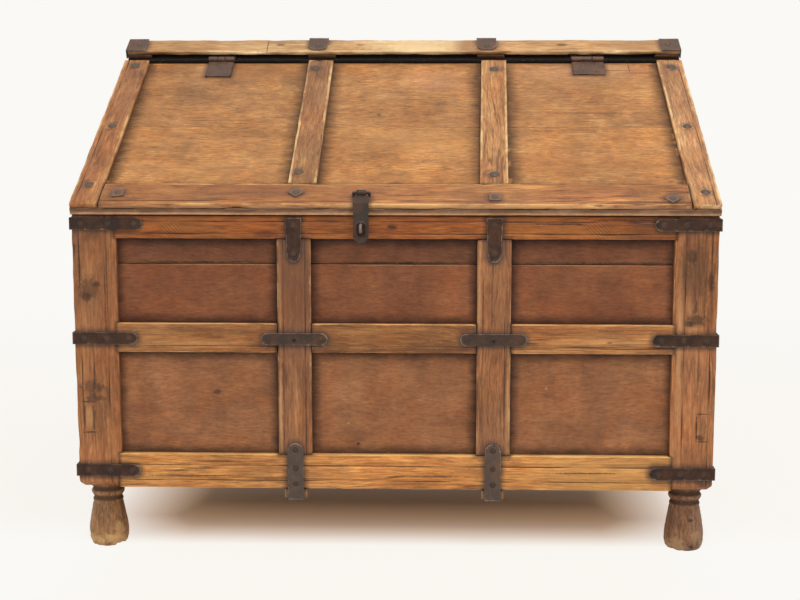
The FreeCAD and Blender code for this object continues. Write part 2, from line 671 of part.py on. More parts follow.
# Iron on the fixed strip: tongues that come over from the back, and corner plates
tongue_round = "tongue_width / 2"
tongue_start = "slope_end - tongue_length + %s" % tongue_round
tongue_low = "(back_plane_height - tongue_drop + %s)" % tongue_round
tongue_x = "-tongue_x"
tongue = fuse(
    slope_box("%s - %s" % (tongue_x, tongue_round), tongue_start, "strip_top", "tongue_width",
              "tongue_length - %s + strap_thickness" % tongue_round, "strap_thickness"),
    on_slope(rod(tongue_round, "strap_thickness"), tongue_x, tongue_start, "strip_top"),
    slope_box("%s - %s" % (tongue_x, tongue_round), "slope_end", "0", "tongue_width", "strap_thickness",
              "strip_top + strap_thickness"),
    box("%s - %s" % (tongue_x, tongue_round), "back", tongue_low, "tongue_width", "strap_thickness",
        "back_plane_height + strap_thickness / 2 - %s" % tongue_low),
    rod_y(tongue_round, "strap_thickness", tongue_x, "back", tongue_low))
plate = fuse(
    slope_box("-half_width - plate_thickness", "strip_start", "strip_top",
              "corner_plate_width + plate_thickness", "slope_end - strip_start", "plate_thickness"),
    slope_box("-half_width - plate_thickness", "strip_start", "board_thickness", "plate_thickness",
              "slope_end - strip_start", "strip_top - board_thickness + plate_thickness"))


# Nails driven square to the slope
def slope_nail(x, level, height, **options):
    return on_slope(nail(**options), x, level, height)


def slope_punch(x, level, height):
    return on_slope(rod("punch_radius", "cut_overrun"), x, level, "%s - cut_overrun / 2" % height)


tongue_spots = [(tongue_x, "slope_end - tongue_length * %s" % share, "strip_top + strap_thickness")
                for share in tongue_nail_shares]
plate_spot = ("-half_width + corner_plate_width * %s" % plate_nail_share,
              "(strip_start + slope_end) / 2", "strip_top + plate_thickness")
tongue = fasten(cut(tongue, *[slope_punch(*spot) for spot in tongue_spots]), "back",
                [(tongue_x, "back + strap_thickness", "back_plane_height - tongue_drop * %s" % share)
                 for share in tongue_back_nail_shares], back_nails)
plate = cut(plate, slope_punch(*plate_spot))
node("top_strip_tongues", *both_sides(tongue))
node("corner_plates", *both_sides(plate))
roof_nails = both_sides(*[slope_nail(*spot) for spot in (*tongue_spots, plate_spot)])
node("back_strap_nails", *both_sides(*back_nails))

# Lid nails, some on square washers
lid_nails = [
    slope_nail("half_width * %s" % across, "lid_length * %s" % up, "lid_thickness",
               head_radius="lid_nail_radius", head_height="lid_nail_head", depth="lid_shank_depth")
    for across, up in lid_nail_shares]
washers = []
for across, up, turn in lid_washer_shares:
    spot = ("half_width * %s" % across, "lid_length * %s" % up)
    square = place(doc.addObject("Part::Box", "square"), "0", "0", "0")
    bind(square, Length="washer_size", Width="washer_size", Height="washer_thickness")
    place(square, "-washer_size / 2 * (cos(%s) - sin(%s))" % (turn * right_angle, turn * right_angle),
          "-washer_size / 2 * (sin(%s) + cos(%s))" % (turn * right_angle, turn * right_angle), "0",
          (0, 0, 1), turn * right_angle)
    washer = cut(square, place(rod("punch_radius", "cut_overrun"), "0", "0", "-cut_overrun / 2"))
    washers.append(on_slope(washer, *spot, "lid_thickness"))
    lid_nails.append(slope_nail(*spot, "lid_thickness + washer_thickness",
                                head_radius="washer_nail_radius", depth="lid_shank_depth"))
node("lid_washers", *washers)
node("lid_nails", *lid_nails)


# Butt hinges with a barrel of three joints, nailed on under the strip and on the lid's boards
def hinge(x, width, leaf_length):
    joint = "((%s - 2 * barrel_gap) / 3)" % width
    left = "(%s) - %s / 2" % (x, width)
    starts = [left, "%s + %s + barrel_gap" % (left, joint), "%s + 2 * (%s + barrel_gap)" % (left, joint)]
    axis = (slope_y("hinge_level", "hinge_height"), slope_z("hinge_level", "hinge_height"))
    bore = rod_x("bore_radius", "%s + cut_overrun" % width, left + " - cut_overrun / 2", *axis)

    def barrel(start, toward):
        tail = "hinge_level" if toward > 0 else "hinge_level - barrel_radius - leaf_thickness"
        return [rod_x("barrel_radius", joint, start, *axis),
                slope_box(start, tail, "board_thickness", joint, "barrel_radius + leaf_thickness",
                          "leaf_thickness")]

    fixed_plate = slope_box(left, "hinge_level + barrel_radius + barrel_gap", "board_thickness", width,
                            "fixed_leaf_length - barrel_radius", "leaf_thickness")
    lid_plate = slope_box(left, "hinge_level - %s" % leaf_length, "board_thickness", width,
                          "%s - barrel_radius - barrel_gap" % leaf_length, "leaf_thickness")
    top = "board_thickness + leaf_thickness"
    fixed_nail_level = "hinge_level + fixed_leaf_length * %s" % fixed_leaf_share
    fixed_spots = [("%s + %s * %s" % (x, width, share), fixed_nail_level, top)
                   for share in leaf_nail_shares]
    lid_spots = [("%s + %s * %s" % (x, width, share), level, top) for share in leaf_nail_shares
                 for level in ("hinge_level - %s + leaf_nail_margin" % leaf_length,
                               "hinge_level - barrel_radius - leaf_nail_margin")]
    fixed = cut(fuse(fixed_plate, *barrel(starts[0], 1), *barrel(starts[2], 1)), bore,
                *[slope_punch(*spot) for spot in fixed_spots])
    moving = cut(fuse(lid_plate, *barrel(starts[1], -1)), bore, *[slope_punch(*spot) for spot in lid_spots])
    pin = rod_x("pin_radius", width, left, *axis)
    small = {"head_radius": "leaf_nail_radius", "head_height": "leaf_nail_head"}
    return (fixed, moving, pin, [slope_nail(*spot, **small) for spot in fixed_spots],
            [slope_nail(*spot, **small) for spot in lid_spots])


left_hinge = hinge("left_hinge_x", "left_hinge_width", "left_leaf_length")
right_hinge = hinge("right_hinge_x", "right_hinge_width", "right_leaf_length")
node("hinge_fixed_leaves", left_hinge[0], right_hinge[0])
node("hinge_lid_leaves", left_hinge[1], right_hinge[1])
node("hinge_pins", left_hinge[2], right_hinge[2])
node("roof_nails", *roof_nails, *left_hinge[3], *right_hinge[3])
node("hinge_lid_nails", *left_hinge[4], *right_hinge[4])

# Staple on the top rail: a loop of round iron that the hasp drops over
loop = doc.addObject("Part::Torus", "loop")
bind(loop, Radius1="loop_radius", Radius2="wire_radius", Angle3=half_turn)
place(loop, "hasp_x", "loop_y", "staple_level", (1, 0, 1), half_turn)
legs = [rod_y("wire_radius", "front + staple_root - (loop_y)", "hasp_x", "loop_y",
              "staple_level %s loop_radius" % sign) for sign in "+-"]
node("lock_staple", fuse(loop, *legs))

# Staple on the lid rail that the hasp hangs from
pivot = (slope_y("hasp_pivot_level", "pivot_height"), slope_z("hasp_pivot_level", "pivot_height"))
pivot_parts = [rod_x("wire_radius", "pivot_staple_width", "hasp_x - pivot_staple_width / 2", *pivot)]
for sign in "+-":
    leg_x = "hasp_x %s pivot_staple_width / 2" % sign
    shoulder = doc.addObject("Part::Sphere", "shoulder")
    bind(shoulder, Radius="wire_radius")
    pivot_parts.append(place(shoulder, leg_x, *pivot))
    pivot_parts.append(on_slope(rod("wire_radius", "pivot_staple_root + hasp_pivot_lift"), leg_x,
                                "hasp_pivot_level", "lid_thickness - pivot_staple_root"))
node("hasp_staple", fuse(*pivot_parts))

# Hasp: a plate bent over the lid's front edge, with a rolled eye, a round end and a slot
inner_level = "(hasp_back - nose_y + hasp_face * sin(lid_slope)) / cos(lid_slope)"
outer_level = "(hasp_front - nose_y + hasp_top_face * sin(lid_slope)) / cos(lid_slope)"
bent_plate = doc.addObject("PartDesign::Body", "hasp_plate")
bend = outline(bent_plate, "YZ_Plane", [
    (slope_y("hasp_neck_level", "hasp_face"), slope_z("hasp_neck_level", "hasp_face")),
    ("hasp_back", slope_z(inner_level, "hasp_face")),
    ("hasp_back", "hasp_round_level"),
    ("hasp_front", "hasp_round_level"),
    ("hasp_front", slope_z(outer_level, "hasp_top_face")),
    (slope_y("hasp_neck_level", "hasp_top_face"), slope_z("hasp_neck_level", "hasp_top_face")),
], "hasp_bend")
hasp_pad = bent_plate.newObject("PartDesign::Pad", "hasp_pad")
hasp_pad.Profile = bend
bind(hasp_pad, Length="hasp_width")
bent_plate.Tip = hasp_pad
place(bent_plate, "hasp_x - hasp_width / 2", "0", "0")
slot_round = "slot_width / 2"
slot_parts = [box("hasp_x - %s" % slot_round, "hasp_front - cut_overrun / 4", "slot_low + %s" % slot_round,
                  "slot_width", "cut_overrun / 2", "slot_height - slot_width")]
slot_parts += [rod_y(slot_round, "cut_overrun / 2", "hasp_x", "hasp_front - cut_overrun / 4", level)
               for level in ("slot_low + %s" % slot_round, "slot_low + slot_height - %s" % slot_round)]
hasp = cut(
    fuse(bent_plate,
         rod_y("hasp_width / 2", "hasp_thickness", "hasp_x", "hasp_front", "hasp_round_level"),
         slope_box("hasp_x - knuckle_width / 2", "hasp_neck_level - hasp_thickness", "hasp_face",
                   "knuckle_width", "hasp_pivot_level - hasp_neck_level + hasp_thickness",
                   "hasp_thickness"),
         rod_x("knuckle_radius", "knuckle_width", "hasp_x - knuckle_width / 2", *pivot)),
    rod_x("wire_radius + pin_clearance", "hasp_width + cut_overrun",
          "hasp_x - (hasp_width + cut_overrun) / 2", *pivot),
    *slot_parts)
node("hasp", hasp)

# Every object must be sound before anything is written
doc.recompute()
for obj in doc.Objects:
    if "Invalid" in obj.State or "Error" in obj.State:
        raise RuntimeError("%s (%s) failed: %s" % (obj.Label, obj.Name, obj.State))
os.makedirs("parts", exist_ok=True)
for obj in nodes:
    if obj.Shape.isNull() or not obj.Shape.isValid():
        raise RuntimeError("%s has no sound shape" % obj.Label)
for obj in nodes:
    obj.Shape.exportStep("parts/%s.step" % obj.Label)
print("%d nodes, %d solids" % (len(nodes), sum(len(obj.Shape.Solids) for obj in nodes)))
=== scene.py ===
import json
import math

import bmesh
import bpy
from mathutils import Matrix, Vector, noise
from mathutils.bvhtree import BVHTree


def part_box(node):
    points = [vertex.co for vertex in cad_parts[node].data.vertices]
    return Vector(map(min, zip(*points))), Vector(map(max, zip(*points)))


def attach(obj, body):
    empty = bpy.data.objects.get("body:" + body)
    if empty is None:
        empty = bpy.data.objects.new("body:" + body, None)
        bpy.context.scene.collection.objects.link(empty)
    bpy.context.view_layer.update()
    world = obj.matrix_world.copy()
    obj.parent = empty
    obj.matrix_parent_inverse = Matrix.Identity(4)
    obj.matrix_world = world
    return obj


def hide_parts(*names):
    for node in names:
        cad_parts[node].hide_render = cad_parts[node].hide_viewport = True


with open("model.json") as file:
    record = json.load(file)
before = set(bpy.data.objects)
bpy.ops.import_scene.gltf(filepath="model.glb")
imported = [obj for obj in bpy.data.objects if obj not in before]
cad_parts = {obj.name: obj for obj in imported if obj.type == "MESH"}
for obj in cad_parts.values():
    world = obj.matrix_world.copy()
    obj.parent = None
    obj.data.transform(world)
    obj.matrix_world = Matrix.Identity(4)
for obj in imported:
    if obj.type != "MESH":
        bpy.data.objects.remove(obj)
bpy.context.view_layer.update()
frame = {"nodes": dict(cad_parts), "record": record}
cadNodes = frame["nodes"]

mm = 0.001

# Places that the pieces share, in millimetres and degrees
chest = {
    "slope": 27,
    "boardThickness": 11,
    "footHeight": 100,
    "tenon": 30,
    "restGap": 0.3,
    "slopedRailHeight": 45,
    "sideBoardTop": 35.2,
    "boardSeams": (340, 456, 609),
    "frontGap": 3,
    "muntinPlace": 155,
    "frontFace": -237.5,
}

slope = math.radians(chest["slope"])
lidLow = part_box("lid_lower_board")[0]
nose = Vector((0, lidLow.y + chest["boardThickness"] * mm * math.sin(slope), lidLow.z))
onSlope = Matrix.Translation(nose) @ Matrix.Rotation(slope, 4, "X")
upright = Matrix.Identity(4)
slopeNormal = Vector((0, -math.sin(slope), math.cos(slope)))


# An output socket that can be reckoned with: sums, differences and products of it are Math nodes
class Value:
    def __init__(self, tree, socket):
        self.tree, self.socket = tree, socket

    def math(self, operation, second=0.0, clamp=False):
        return add(self.tree, "Math", {0: self, 1: second}, operation=operation, use_clamp=clamp)

    def __add__(self, other):
        return self.math("ADD", other)

    def __sub__(self, other):
        return self.math("SUBTRACT", other)

    def __mul__(self, other):
        return self.math("MULTIPLY", other)

    def __rsub__(self, other):
        return add(self.tree, "Math", {0: other, 1: self}, operation="SUBTRACT")

    def __abs__(self):
        return self.math("ABSOLUTE")


# Fills sockets: a Value is wired, anything else is set
def wire(tree, sockets, values):
    for key, value in values.items():
        if isinstance(value, Value):
            tree.links.new(value.socket, sockets[key])
        else:
            sockets[key].default_value = value


def reckoned(tree, sockets):
    return {socket.name: Value(tree, socket) for socket in sockets}


# A node's one output, or all of them by name
def add(tree, kind, inputs=None, output=0, **settings):
    made = tree.nodes.new("ShaderNode" + kind)
    for name, value in settings.items():
        setattr(made, name, value)
    wire(tree, made.inputs, inputs or {})
    return reckoned(tree, made.outputs) if output == "all" else Value(tree, made.outputs[output])


def vectorMath(operation, first, second=(0, 0, 0), output=0):
    return add(first.tree, "VectorMath", {0: first, 1: second}, output, operation=operation)


# How far a pattern swings about its middle
def swing(pattern, amount):
    return (pattern - 0.5) * amount


def ramp(value, low, high, toLow=0.0, toHigh=1.0):
    return add(value.tree, "MapRange", {"Value": value, "From Min": low, "From Max": high,
                                        "To Min": toLow, "To Max": toHigh}, "Result")


# Thin lines where a pattern crosses its middle
def veins(pattern, width):
    return ramp(abs(pattern - 0.5), 0.0, width, 1, 0)


def mix(factor, first, second, mode="MIX"):
    tree = factor.tree if isinstance(factor, Value) else first.tree
    return add(tree, "Mix", {0: factor, 6: first, 7: second}, 2, data_type="RGBA", blend_type=mode)


def dimmed(color, by):
    return mix(1.0, color, by, "MULTIPLY")


def shade(values):
    return (*values, 1.0)


def grey(value):
    return add(value.tree, "CombineColor", {0: value, 1: value, 2: value})


def group(name, inputs, outputs):
    made = bpy.data.node_groups.new(name, "ShaderNodeTree")
    kinds = {"float": "NodeSocketFloat", "color": "NodeSocketColor", "vector": "NodeSocketVector"}
    for direction, sockets in (("INPUT", inputs), ("OUTPUT", outputs)):
        for kind, labels in sockets.items():
            for label in labels.split():
                made.interface.new_socket(name=label, in_out=direction, socket_type=kinds[kind])
    given = reckoned(made, made.nodes.new("NodeGroupInput").outputs)
    return made, given, made.nodes.new("NodeGroupOutput").inputs


# Noise patterns: how many per metre along the grain (X) and across it, detail, roughness, distortion
patterns = {
    "wobble": ((1.6, 7, 7), 2, 0.55, 0),
    "bands": ((3.5, 30, 30), 4, 0.55, 0.5),
    "streaks": ((12, 110, 110), 6, 0.75, 0.2),
    "mottle": ((14, 34, 34), 4, 0.65, 0.4),
    "fibres": ((34, 330, 330), 4, 0.7, 0),
    "lines": ((9, 150, 150), 3, 0.6, 0),
    "pores": ((45, 800, 800), 1, 0.55, 0),
    "checks": ((2.6, 62, 62), 2, 0.55, 0),
    "checkPlaces": ((1.5, 9, 9), 2, 0.55, 0),
    "blotches": ((7, 7, 7), 4, 0.6, 0.5),
    "redness": ((7.5, 15, 15), 3, 0.6, 0.5),
    "patches": ((24.5, 70, 70), 4, 0.65, 0),
    "specks": ((420, 420, 420), 2, 0.6, 0),
    "scuffs": ((13, 26, 26), 5, 0.7, 0.6),
    "flecks": ((115.5, 330, 330), 2, 0.6, 0),
    "rags": ((110, 110, 110), 4, 0.65, 0),
    "dents": ((120, 120, 120), 3, 0.5, 0),
    "rust": ((45, 45, 45), 5, 0.65, 0.5),
    "grit": ((900, 900, 900), 3, 0.6, 0),
}


def noisy(vector, name):
    scale, detail, roughness, distortion = patterns[name]
    place = vectorMath("MULTIPLY", vector, scale)
    return add(vector.tree, "TexNoise", {"Vector": place, "Scale": 1, "Detail": detail,
                                         "Roughness": roughness, "Distortion": distortion}, "Fac")


# Figure of the wood: how the patterns share in its colour and its relief, and at what levels they show
figureValues = {
    "bend": 0.05,
    "bands": 0.28,
    "streaks": 0.3,
    "mottle": 0.42,
    "darkToMid": (0.38, 0.5),
    "midToPale": (0.5, 0.62),
    "blotchLight": (0.3, 0.7, 0.76, 1.2),
    "lineWidth": 0.035,
    "lineLight": 1.04,
    "lineDark": 0.13,
    "redLevel": (0.4, 0.62),
    "redShade": (1.0, 0.9, 0.78),
    "poreLevel": (0.6, 0.7),
    "poreDark": 0.4,
    "checkWidth": 0.022,
    "checkLevel": (0.48, 0.58),
    "checkShade": (0.3, 0.3, 0.3),
    "fibreRelief": 0.6,
    "streakRelief": 0.5,
    "poreRelief": 0.5,
}


def makeWoodFigure():
    values = figureValues
    tree, given, made = group(
        "woodFigure", {"vector": "Vector", "color": "Dark Mid Pale", "float": "Contrast Fibre Checks"},
        {"color": "Color", "float": "Height"})
    vector = given["Vector"]
    bend = swing(noisy(vector, "wobble"), values["bend"])
    bent = vectorMath("ADD", vector, add(tree, "CombineXYZ", {1: bend, 2: bend}))
    bands, streaks, fibres = [noisy(bent, name) for name in ("bands", "streaks", "fibres")]
    lines = veins(noisy(bent, "lines"), values["lineWidth"])
    pores = ramp(noisy(bent, "pores"), *values["poreLevel"])
    figure = (bands * values["bands"] + streaks * values["streaks"]
              + noisy(vector, "mottle") * values["mottle"])
    color = mix(ramp(figure, *values["darkToMid"]), given["Dark"], given["Mid"])
    color = mix(ramp(figure, *values["midToPale"]), color, given["Pale"])
    color = mix(given["Contrast"], given["Mid"], color)
    light = swing(fibres, given["Fibre"]) + 1
    light *= ramp(noisy(vector, "blotches"), *values["blotchLight"])
    light *= values["lineLight"] - lines * (given["Fibre"] * values["lineDark"])
    color = dimmed(color, grey(light))
    redness = ramp(noisy(vector, "redness"), *values["redLevel"])
    color = mix(redness, color, dimmed(color, shade(values["redShade"])))
    color = mix(pores * values["poreDark"], color, given["Dark"])
    split = veins(noisy(bent, "checks"), values["checkWidth"])
    split *= ramp(noisy(vector, "checkPlaces"), *values["checkLevel"])
    split *= given["Checks"]
    color = mix(split, color, dimmed(given["Dark"], shade(values["checkShade"])))
    height = fibres * values["fibreRelief"] + streaks * values["streakRelief"]
    wire(tree, made, {"Color": color, "Height": height - pores * values["poreRelief"] - split})
    return tree


# Wear at the arrises, dirt and painted shade in the corners and where pieces meet, and iron stain round
# the fittings: how ragged each is, the levels over which it shows, and how much of its colour it lays
# on
skinValues = {
    "Wear": {"ragged": 1.5, "level": (0.42, 0.86), "amount": 0.8},
    "Dirt": {"ragged": 0.9, "level": (0.22, 0.95), "start": 0.15, "amount": 0.85},
    "Stain": {"ragged": 1.1, "level": (0.3, 0.95), "start": 0.2, "amount": 0.75},
    "speckLevel": (0.66, 0.74),
    "speckAmount": 0.35,
    "speckRelief": 0.6,
    "fleckLevel": (0.64, 0.74),
    "fleckAmount": 0.24,
    "scuffRoughness": (0.3, 0.7, -0.07, 0.09),
    "dirtRoughness": 0.2,
    "patchRelief": 0.6,
}


def makeAgedSkin():
    values = skinValues
    tree, given, made = group(
        "agedSkin",
        {"vector": "Vector", "color": "Color Worn Grime Iron", "float": "Height Wear Dirt Stain Sheen"},
        {"color": "Color", "float": "Roughness Height"})
    patches, scuffs = [noisy(given["Vector"], name) for name in ("patches", "scuffs")]
    specks = ramp(noisy(given["Vector"], "specks"), *values["speckLevel"])
    flecks = ramp(noisy(given["Vector"], "flecks"), *values["fleckLevel"])
    color, masks = given["Color"], {}
    # The dirt mask lays the grime colour: dirt, and painted shade where pieces meet
    for label, laid, pattern in (("Wear", "Worn", patches), ("Stain", "Iron", scuffs),
                                 ("Dirt", "Grime", patches)):
        mask = ramp(given[label] + swing(pattern, values[label]["ragged"]), *values[label]["level"])
        if "start" in values[label]:
            mask *= ramp(given[label], 0.0, values[label]["start"])
        color = mix(mask * values[label]["amount"], color, given[laid])
        masks[label] = mask
    color = mix(specks * values["speckAmount"], color, given["Grime"])
    color = mix(flecks * values["fleckAmount"], color, given["Worn"])
    rough = given["Sheen"] + ramp(scuffs, *values["scuffRoughness"])
    rough = rough.math("ADD", masks["Dirt"] * values["dirtRoughness"], clamp=True)
    height = given["Height"] + patches * values["patchRelief"] - specks * values["speckRelief"]
    wire(tree, made, {"Color": color, "Roughness": rough, "Height": height})
    return tree


# A knot, stain or old mark: a ragged oval round a given place, whole inside its core
def makeMark():
    tree, given, made = group(
        "mark", {"vector": "Vector Place Size", "float": "Ragged Core"}, {"float": "Mask"})
    apart = vectorMath("SUBTRACT", given["Vector"], given["Place"])
    reach = vectorMath("LENGTH", vectorMath("DIVIDE", apart, given["Size"]), output="Value")
    reach += swing(noisy(given["Vector"], "rags"), given["Ragged"])
    wire(tree, made, {"Mask": ramp(reach, given["Core"], 1.15, 1.0, 0.0)})  # fades out past its rim
    return tree


# Skin of hand-forged iron: its bright colour, laid where the arrises are sharp, is worn metal and a
# painted highlight
forgedValues = {
    "gritInRust": 0.25,
    "rustLevel": (0.56, 0.78),
    "rustAmount": 0.8,
    "brightRagged": 1.2,
    "brightLevel": (0.5, 1.0),
    "brightAmount": 0.75,
    "gritLight": (0.3, 0.7, 0.75, 1.2),
    "roughness": (0.3, 0.7, 0.42, 0.6),
    "rustRoughness": 0.15,
    "gritRelief": 0.16,
}


def makeForgedSkin():
    values = forgedValues
    tree, given, made = group(
        "forgedSkin", {"vector": "Vector", "float": "Wear", "color": "Dark Rust Bright"},
        {"color": "Color", "float": "Roughness Height"})
    patches, grit, dents = [noisy(given["Vector"], name) for name in ("rust", "grit", "dents")]
    rust = ramp(patches + grit * values["gritInRust"], *values["rustLevel"])
    bright = ramp(given["Wear"] + swing(patches, values["brightRagged"]), *values["brightLevel"])
    color = mix(rust * values["rustAmount"], given["Dark"], given["Rust"])
    color = mix(bright * values["brightAmount"], color, given["Bright"])
    color = dimmed(color, grey(ramp(grit, *values["gritLight"])))
    rough = ramp(patches, *values["roughness"]) + rust * values["rustRoughness"]
    height = dents + grit * values["gritRelief"]
    wire(tree, made, {"Color": color, "Roughness": rough, "Height": height})
    return tree


woodFigure = makeWoodFigure()
agedSkin = makeAgedSkin()
markShape = makeMark()
forgedSkin = makeForgedSkin()
print("shader groups made")

# How each kind of wood looks: colours of the figure, of worn arrises, of dirt and painted shade, and of
# iron stain
looks = {
    "lidBoard": {
        "dark": (0.27, 0.12, 0.04), "mid": (0.47, 0.215, 0.072), "pale": (0.62, 0.33, 0.12),
        "worn": (0.66, 0.4, 0.18), "grime": (0.06, 0.026, 0.011), "iron": (0.09, 0.045, 0.026),
        "contrast": 0.7, "fibre": 2.0, "checks": 0.35, "length": 1.9, "sheen": 0.46},
    "lidFrame": {
        "dark": (0.19, 0.075, 0.028), "mid": (0.4, 0.175, 0.062), "pale": (0.6, 0.33, 0.12),
        "worn": (0.82, 0.53, 0.23), "grime": (0.05, 0.022, 0.01), "iron": (0.08, 0.04, 0.026),
        "contrast": 0.8, "fibre": 2.2, "checks": 0.8, "length": 0.9, "sheen": 0.46},
    "strip": {
        "dark": (0.3, 0.13, 0.045), "mid": (0.53, 0.28, 0.11), "pale": (0.72, 0.47, 0.22),
        "worn": (0.86, 0.62, 0.32), "grime": (0.07, 0.03, 0.013), "iron": (0.1, 0.05, 0.03),
        "contrast": 0.8, "fibre": 2.0, "checks": 0.5, "length": 0.8, "sheen": 0.5},
    "frame": {
        "dark": (0.2, 0.075, 0.024), "mid": (0.44, 0.185, 0.058), "pale": (0.64, 0.33, 0.11),
        "worn": (0.78, 0.46, 0.18), "grime": (0.045, 0.02, 0.01), "iron": (0.075, 0.04, 0.027),
        "contrast": 0.72, "fibre": 2.2, "checks": 0.8, "length": 0.75, "sheen": 0.48},
    "post": {
        "dark": (0.16, 0.062, 0.026), "mid": (0.35, 0.145, 0.055), "pale": (0.53, 0.25, 0.095),
        "worn": (0.68, 0.38, 0.15), "grime": (0.045, 0.02, 0.01), "iron": (0.07, 0.038, 0.026),
        "contrast": 0.75, "fibre": 1.8, "checks": 0.5, "length": 0.85, "sheen": 0.5},
    "panel": {
        "dark": (0.15, 0.055, 0.024), "mid": (0.31, 0.125, 0.052), "pale": (0.42, 0.19, 0.082),
        "worn": (0.42, 0.24, 0.11), "grime": (0.035, 0.016, 0.009), "iron": (0.07, 0.035, 0.022),
        "contrast": 0.42, "fibre": 1.2, "checks": 0.12, "length": 2.0, "sheen": 0.52},
    "foot": {
        "dark": (0.14, 0.07, 0.036), "mid": (0.34, 0.19, 0.1), "pale": (0.48, 0.3, 0.17),
        "worn": (0.62, 0.4, 0.2), "grime": (0.07, 0.038, 0.022), "iron": (0.1, 0.06, 0.04),
        "contrast": 0.9, "fibre": 2.4, "checks": 0.5, "length": 0.9, "sheen": 0.6},
    "rough": {
        "dark": (0.14, 0.062, 0.03), "mid": (0.3, 0.15, 0.075), "pale": (0.42, 0.24, 0.13),
        "worn": (0.46, 0.3, 0.17), "grime": (0.05, 0.028, 0.017), "iron": (0.08, 0.045, 0.03),
        "contrast": 0.62, "fibre": 2.0, "checks": 0.6, "length": 1.2, "sheen": 0.68},
}
dustColor = (0.68, 0.39, 0.24)

# Turns that bring a piece's grain onto the patterns' X, upright or on the slope
grainTurns = {
    "x": (0, 0, 0),
    "y": (0, 0, -math.pi / 2),
    "z": (0, math.pi / 2, 0),
    "up": (-slope, 0, -math.pi / 2),
    "across": (-slope, 0, 0),
}
slopeGrains = {"x": "across", "y": "up"}
patternShift = (1.7, 0.9, 2.3)  # from one seed to the next, in metres
relief = 0.0012  # of the bumps, in metres
woodFinish = {"Specular IOR Level": 0.3}
ironFinish = {"Metallic": 0.25, "Specular IOR Level": 0.25}
ironBump = 0.4
# Near-black of the empty nail holes in the crossing straps: painted shade
ironHoleShade = (0.008, 0.006, 0.005)
markDepth = 60
bandLength = 2000
saw = {"Scale": 106, "Distortion": 0.6}
sawLevel = (0.55, 0.9)


# The grime colour of a mark serves both for dirt and for painted shade
def mark(centre, size, strength, color="grime", ragged=1.4, core=0.55):
    return (centre, size, strength, color, ragged, core)


# Rows of marks, in mm: first the place, on the flat front as X and Z or on the slope as X and the way
# up it, then width, height and strength, and where they differ colour, raggedness and core
def frontMarks(*rows):
    return [mark((x, chest["frontFace"], z), (wide, markDepth, tall), *rest)
            for x, z, wide, tall, *rest in rows]


def slopePoint(x, up, height):
    return onSlope @ (Vector((x, up, height)) * mm) / mm


def slopeMarks(height, *rows):
    return [mark(slopePoint(x, up, height), (wide, tall * math.cos(slope), markDepth), *rest)
            for x, up, wide, tall, *rest in rows]


# A mark all along the slope
def bandMark(up, height, thick, *rest):
    return mark(slopePoint(0, up, height), (bandLength, thick, thick), *rest)


def noseMark(strength):
    return bandMark(-9, 9, 12, strength, "dust", 0.35, 0.8)


def marked(place, color, marks, colors):
    for centre, size, strength, kind, ragged, core in marks:
        amount = add(place.tree, "Group", {
            "Vector": place, "Place": Vector(centre) * mm, "Size": Vector(size) * mm, "Ragged": ragged,
            "Core": core}, node_tree=markShape) * strength
        if kind == "saw":  # slanting saw marks
            amount *= ramp(add(place.tree, "TexWave", {"Vector": place, **saw}, "Fac",
                               bands_direction="DIAGONAL"), *sawLevel)
        color = mix(amount, color, shade(colors["grime" if kind == "saw" else kind]))
    return color


def tinted(values, tint):
    for label in ("dark", "mid", "pale", "worn", "grime", "iron"):
        values[label] = [min(1.0, part * by) for part, by in zip(values[label], tint)]
    return values


# Inputs of a group, from the mesh's attributes or from a look's values, all of the same names
def attributes(tree, labels):
    return {label: add(tree, "Attribute", output="Fac", attribute_name=label.lower())
            for label in labels.split()}


def named(values, labels, form=lambda value: value):
    return {label: form(values[label.lower()]) for label in labels.split()}


def newMaterial(name):
    material = bpy.data.materials.new(name)
    material.use_nodes = True
    tree = material.node_tree
    return material, tree, add(tree, "TexCoord", output="Object")


# Lays a skin on the material's surface
def finished(tree, skin, color, bump, finish):
    raised = add(tree, "Bump", {"Height": skin["Height"], "Strength": bump, "Distance": relief})
    wire(tree, tree.nodes["Principled BSDF"].inputs,
         {"Base Color": color, "Roughness": skin["Roughness"], "Normal": raised, **finish})


def wood(name, look, grain, shift, marks=(), bump=0.35, tint=(1, 1, 1), **changes):
    values = tinted({**looks[look], **changes}, tint)
    material, tree, place = newMaterial(name)
    turned = add(tree, "Mapping", {"Vector": place, "Rotation": grainTurns[grain],
                                   "Location": [part * shift for part in patternShift]})
    figure = add(tree, "Group", {
        "Vector": vectorMath("MULTIPLY", turned, (values["length"], 1, 1)),
        **named(values, "Dark Mid Pale", shade), **named(values, "Contrast Fibre Checks")},
        "all", node_tree=woodFigure)
    tone = attributes(tree, "Tone")["Tone"]
    color = marked(place, dimmed(figure["Color"], grey(tone)), marks, {**values, "dust": dustColor})
    skin = add(tree, "Group", {
        "Vector": turned, "Color": color, "Height": figure["Height"],
        **attributes(tree, "Wear Dirt Stain"), **named(values, "Worn Grime Iron", shade),
        **named(values, "Sheen")}, "all", node_tree=agedSkin)
    finished(tree, skin, skin["Color"], bump, woodFinish)
    return material


def iron(name, dark, rust, bright, marks=()):
    material, tree, place = newMaterial(name)
    skin = add(tree, "Group", {
        "Vector": place, **attributes(tree, "Wear"), "Dark": shade(dark), "Rust": shade(rust),
        "Bright": shade(bright)}, "all", node_tree=forgedSkin)
    color = marked(place, skin["Color"], marks, {"grime": ironHoleShade})
    finished(tree, skin, color, ironBump, ironFinish)
    return material


# Triangle trees of the CAD solids, to find how far a point is from its neighbours
ironNodes = [part["node"] for part in frame["record"]["subparts"] if part["material_slot"] == "iron"]
woodNodes = [name for name in cadNodes if name not in ironNodes]


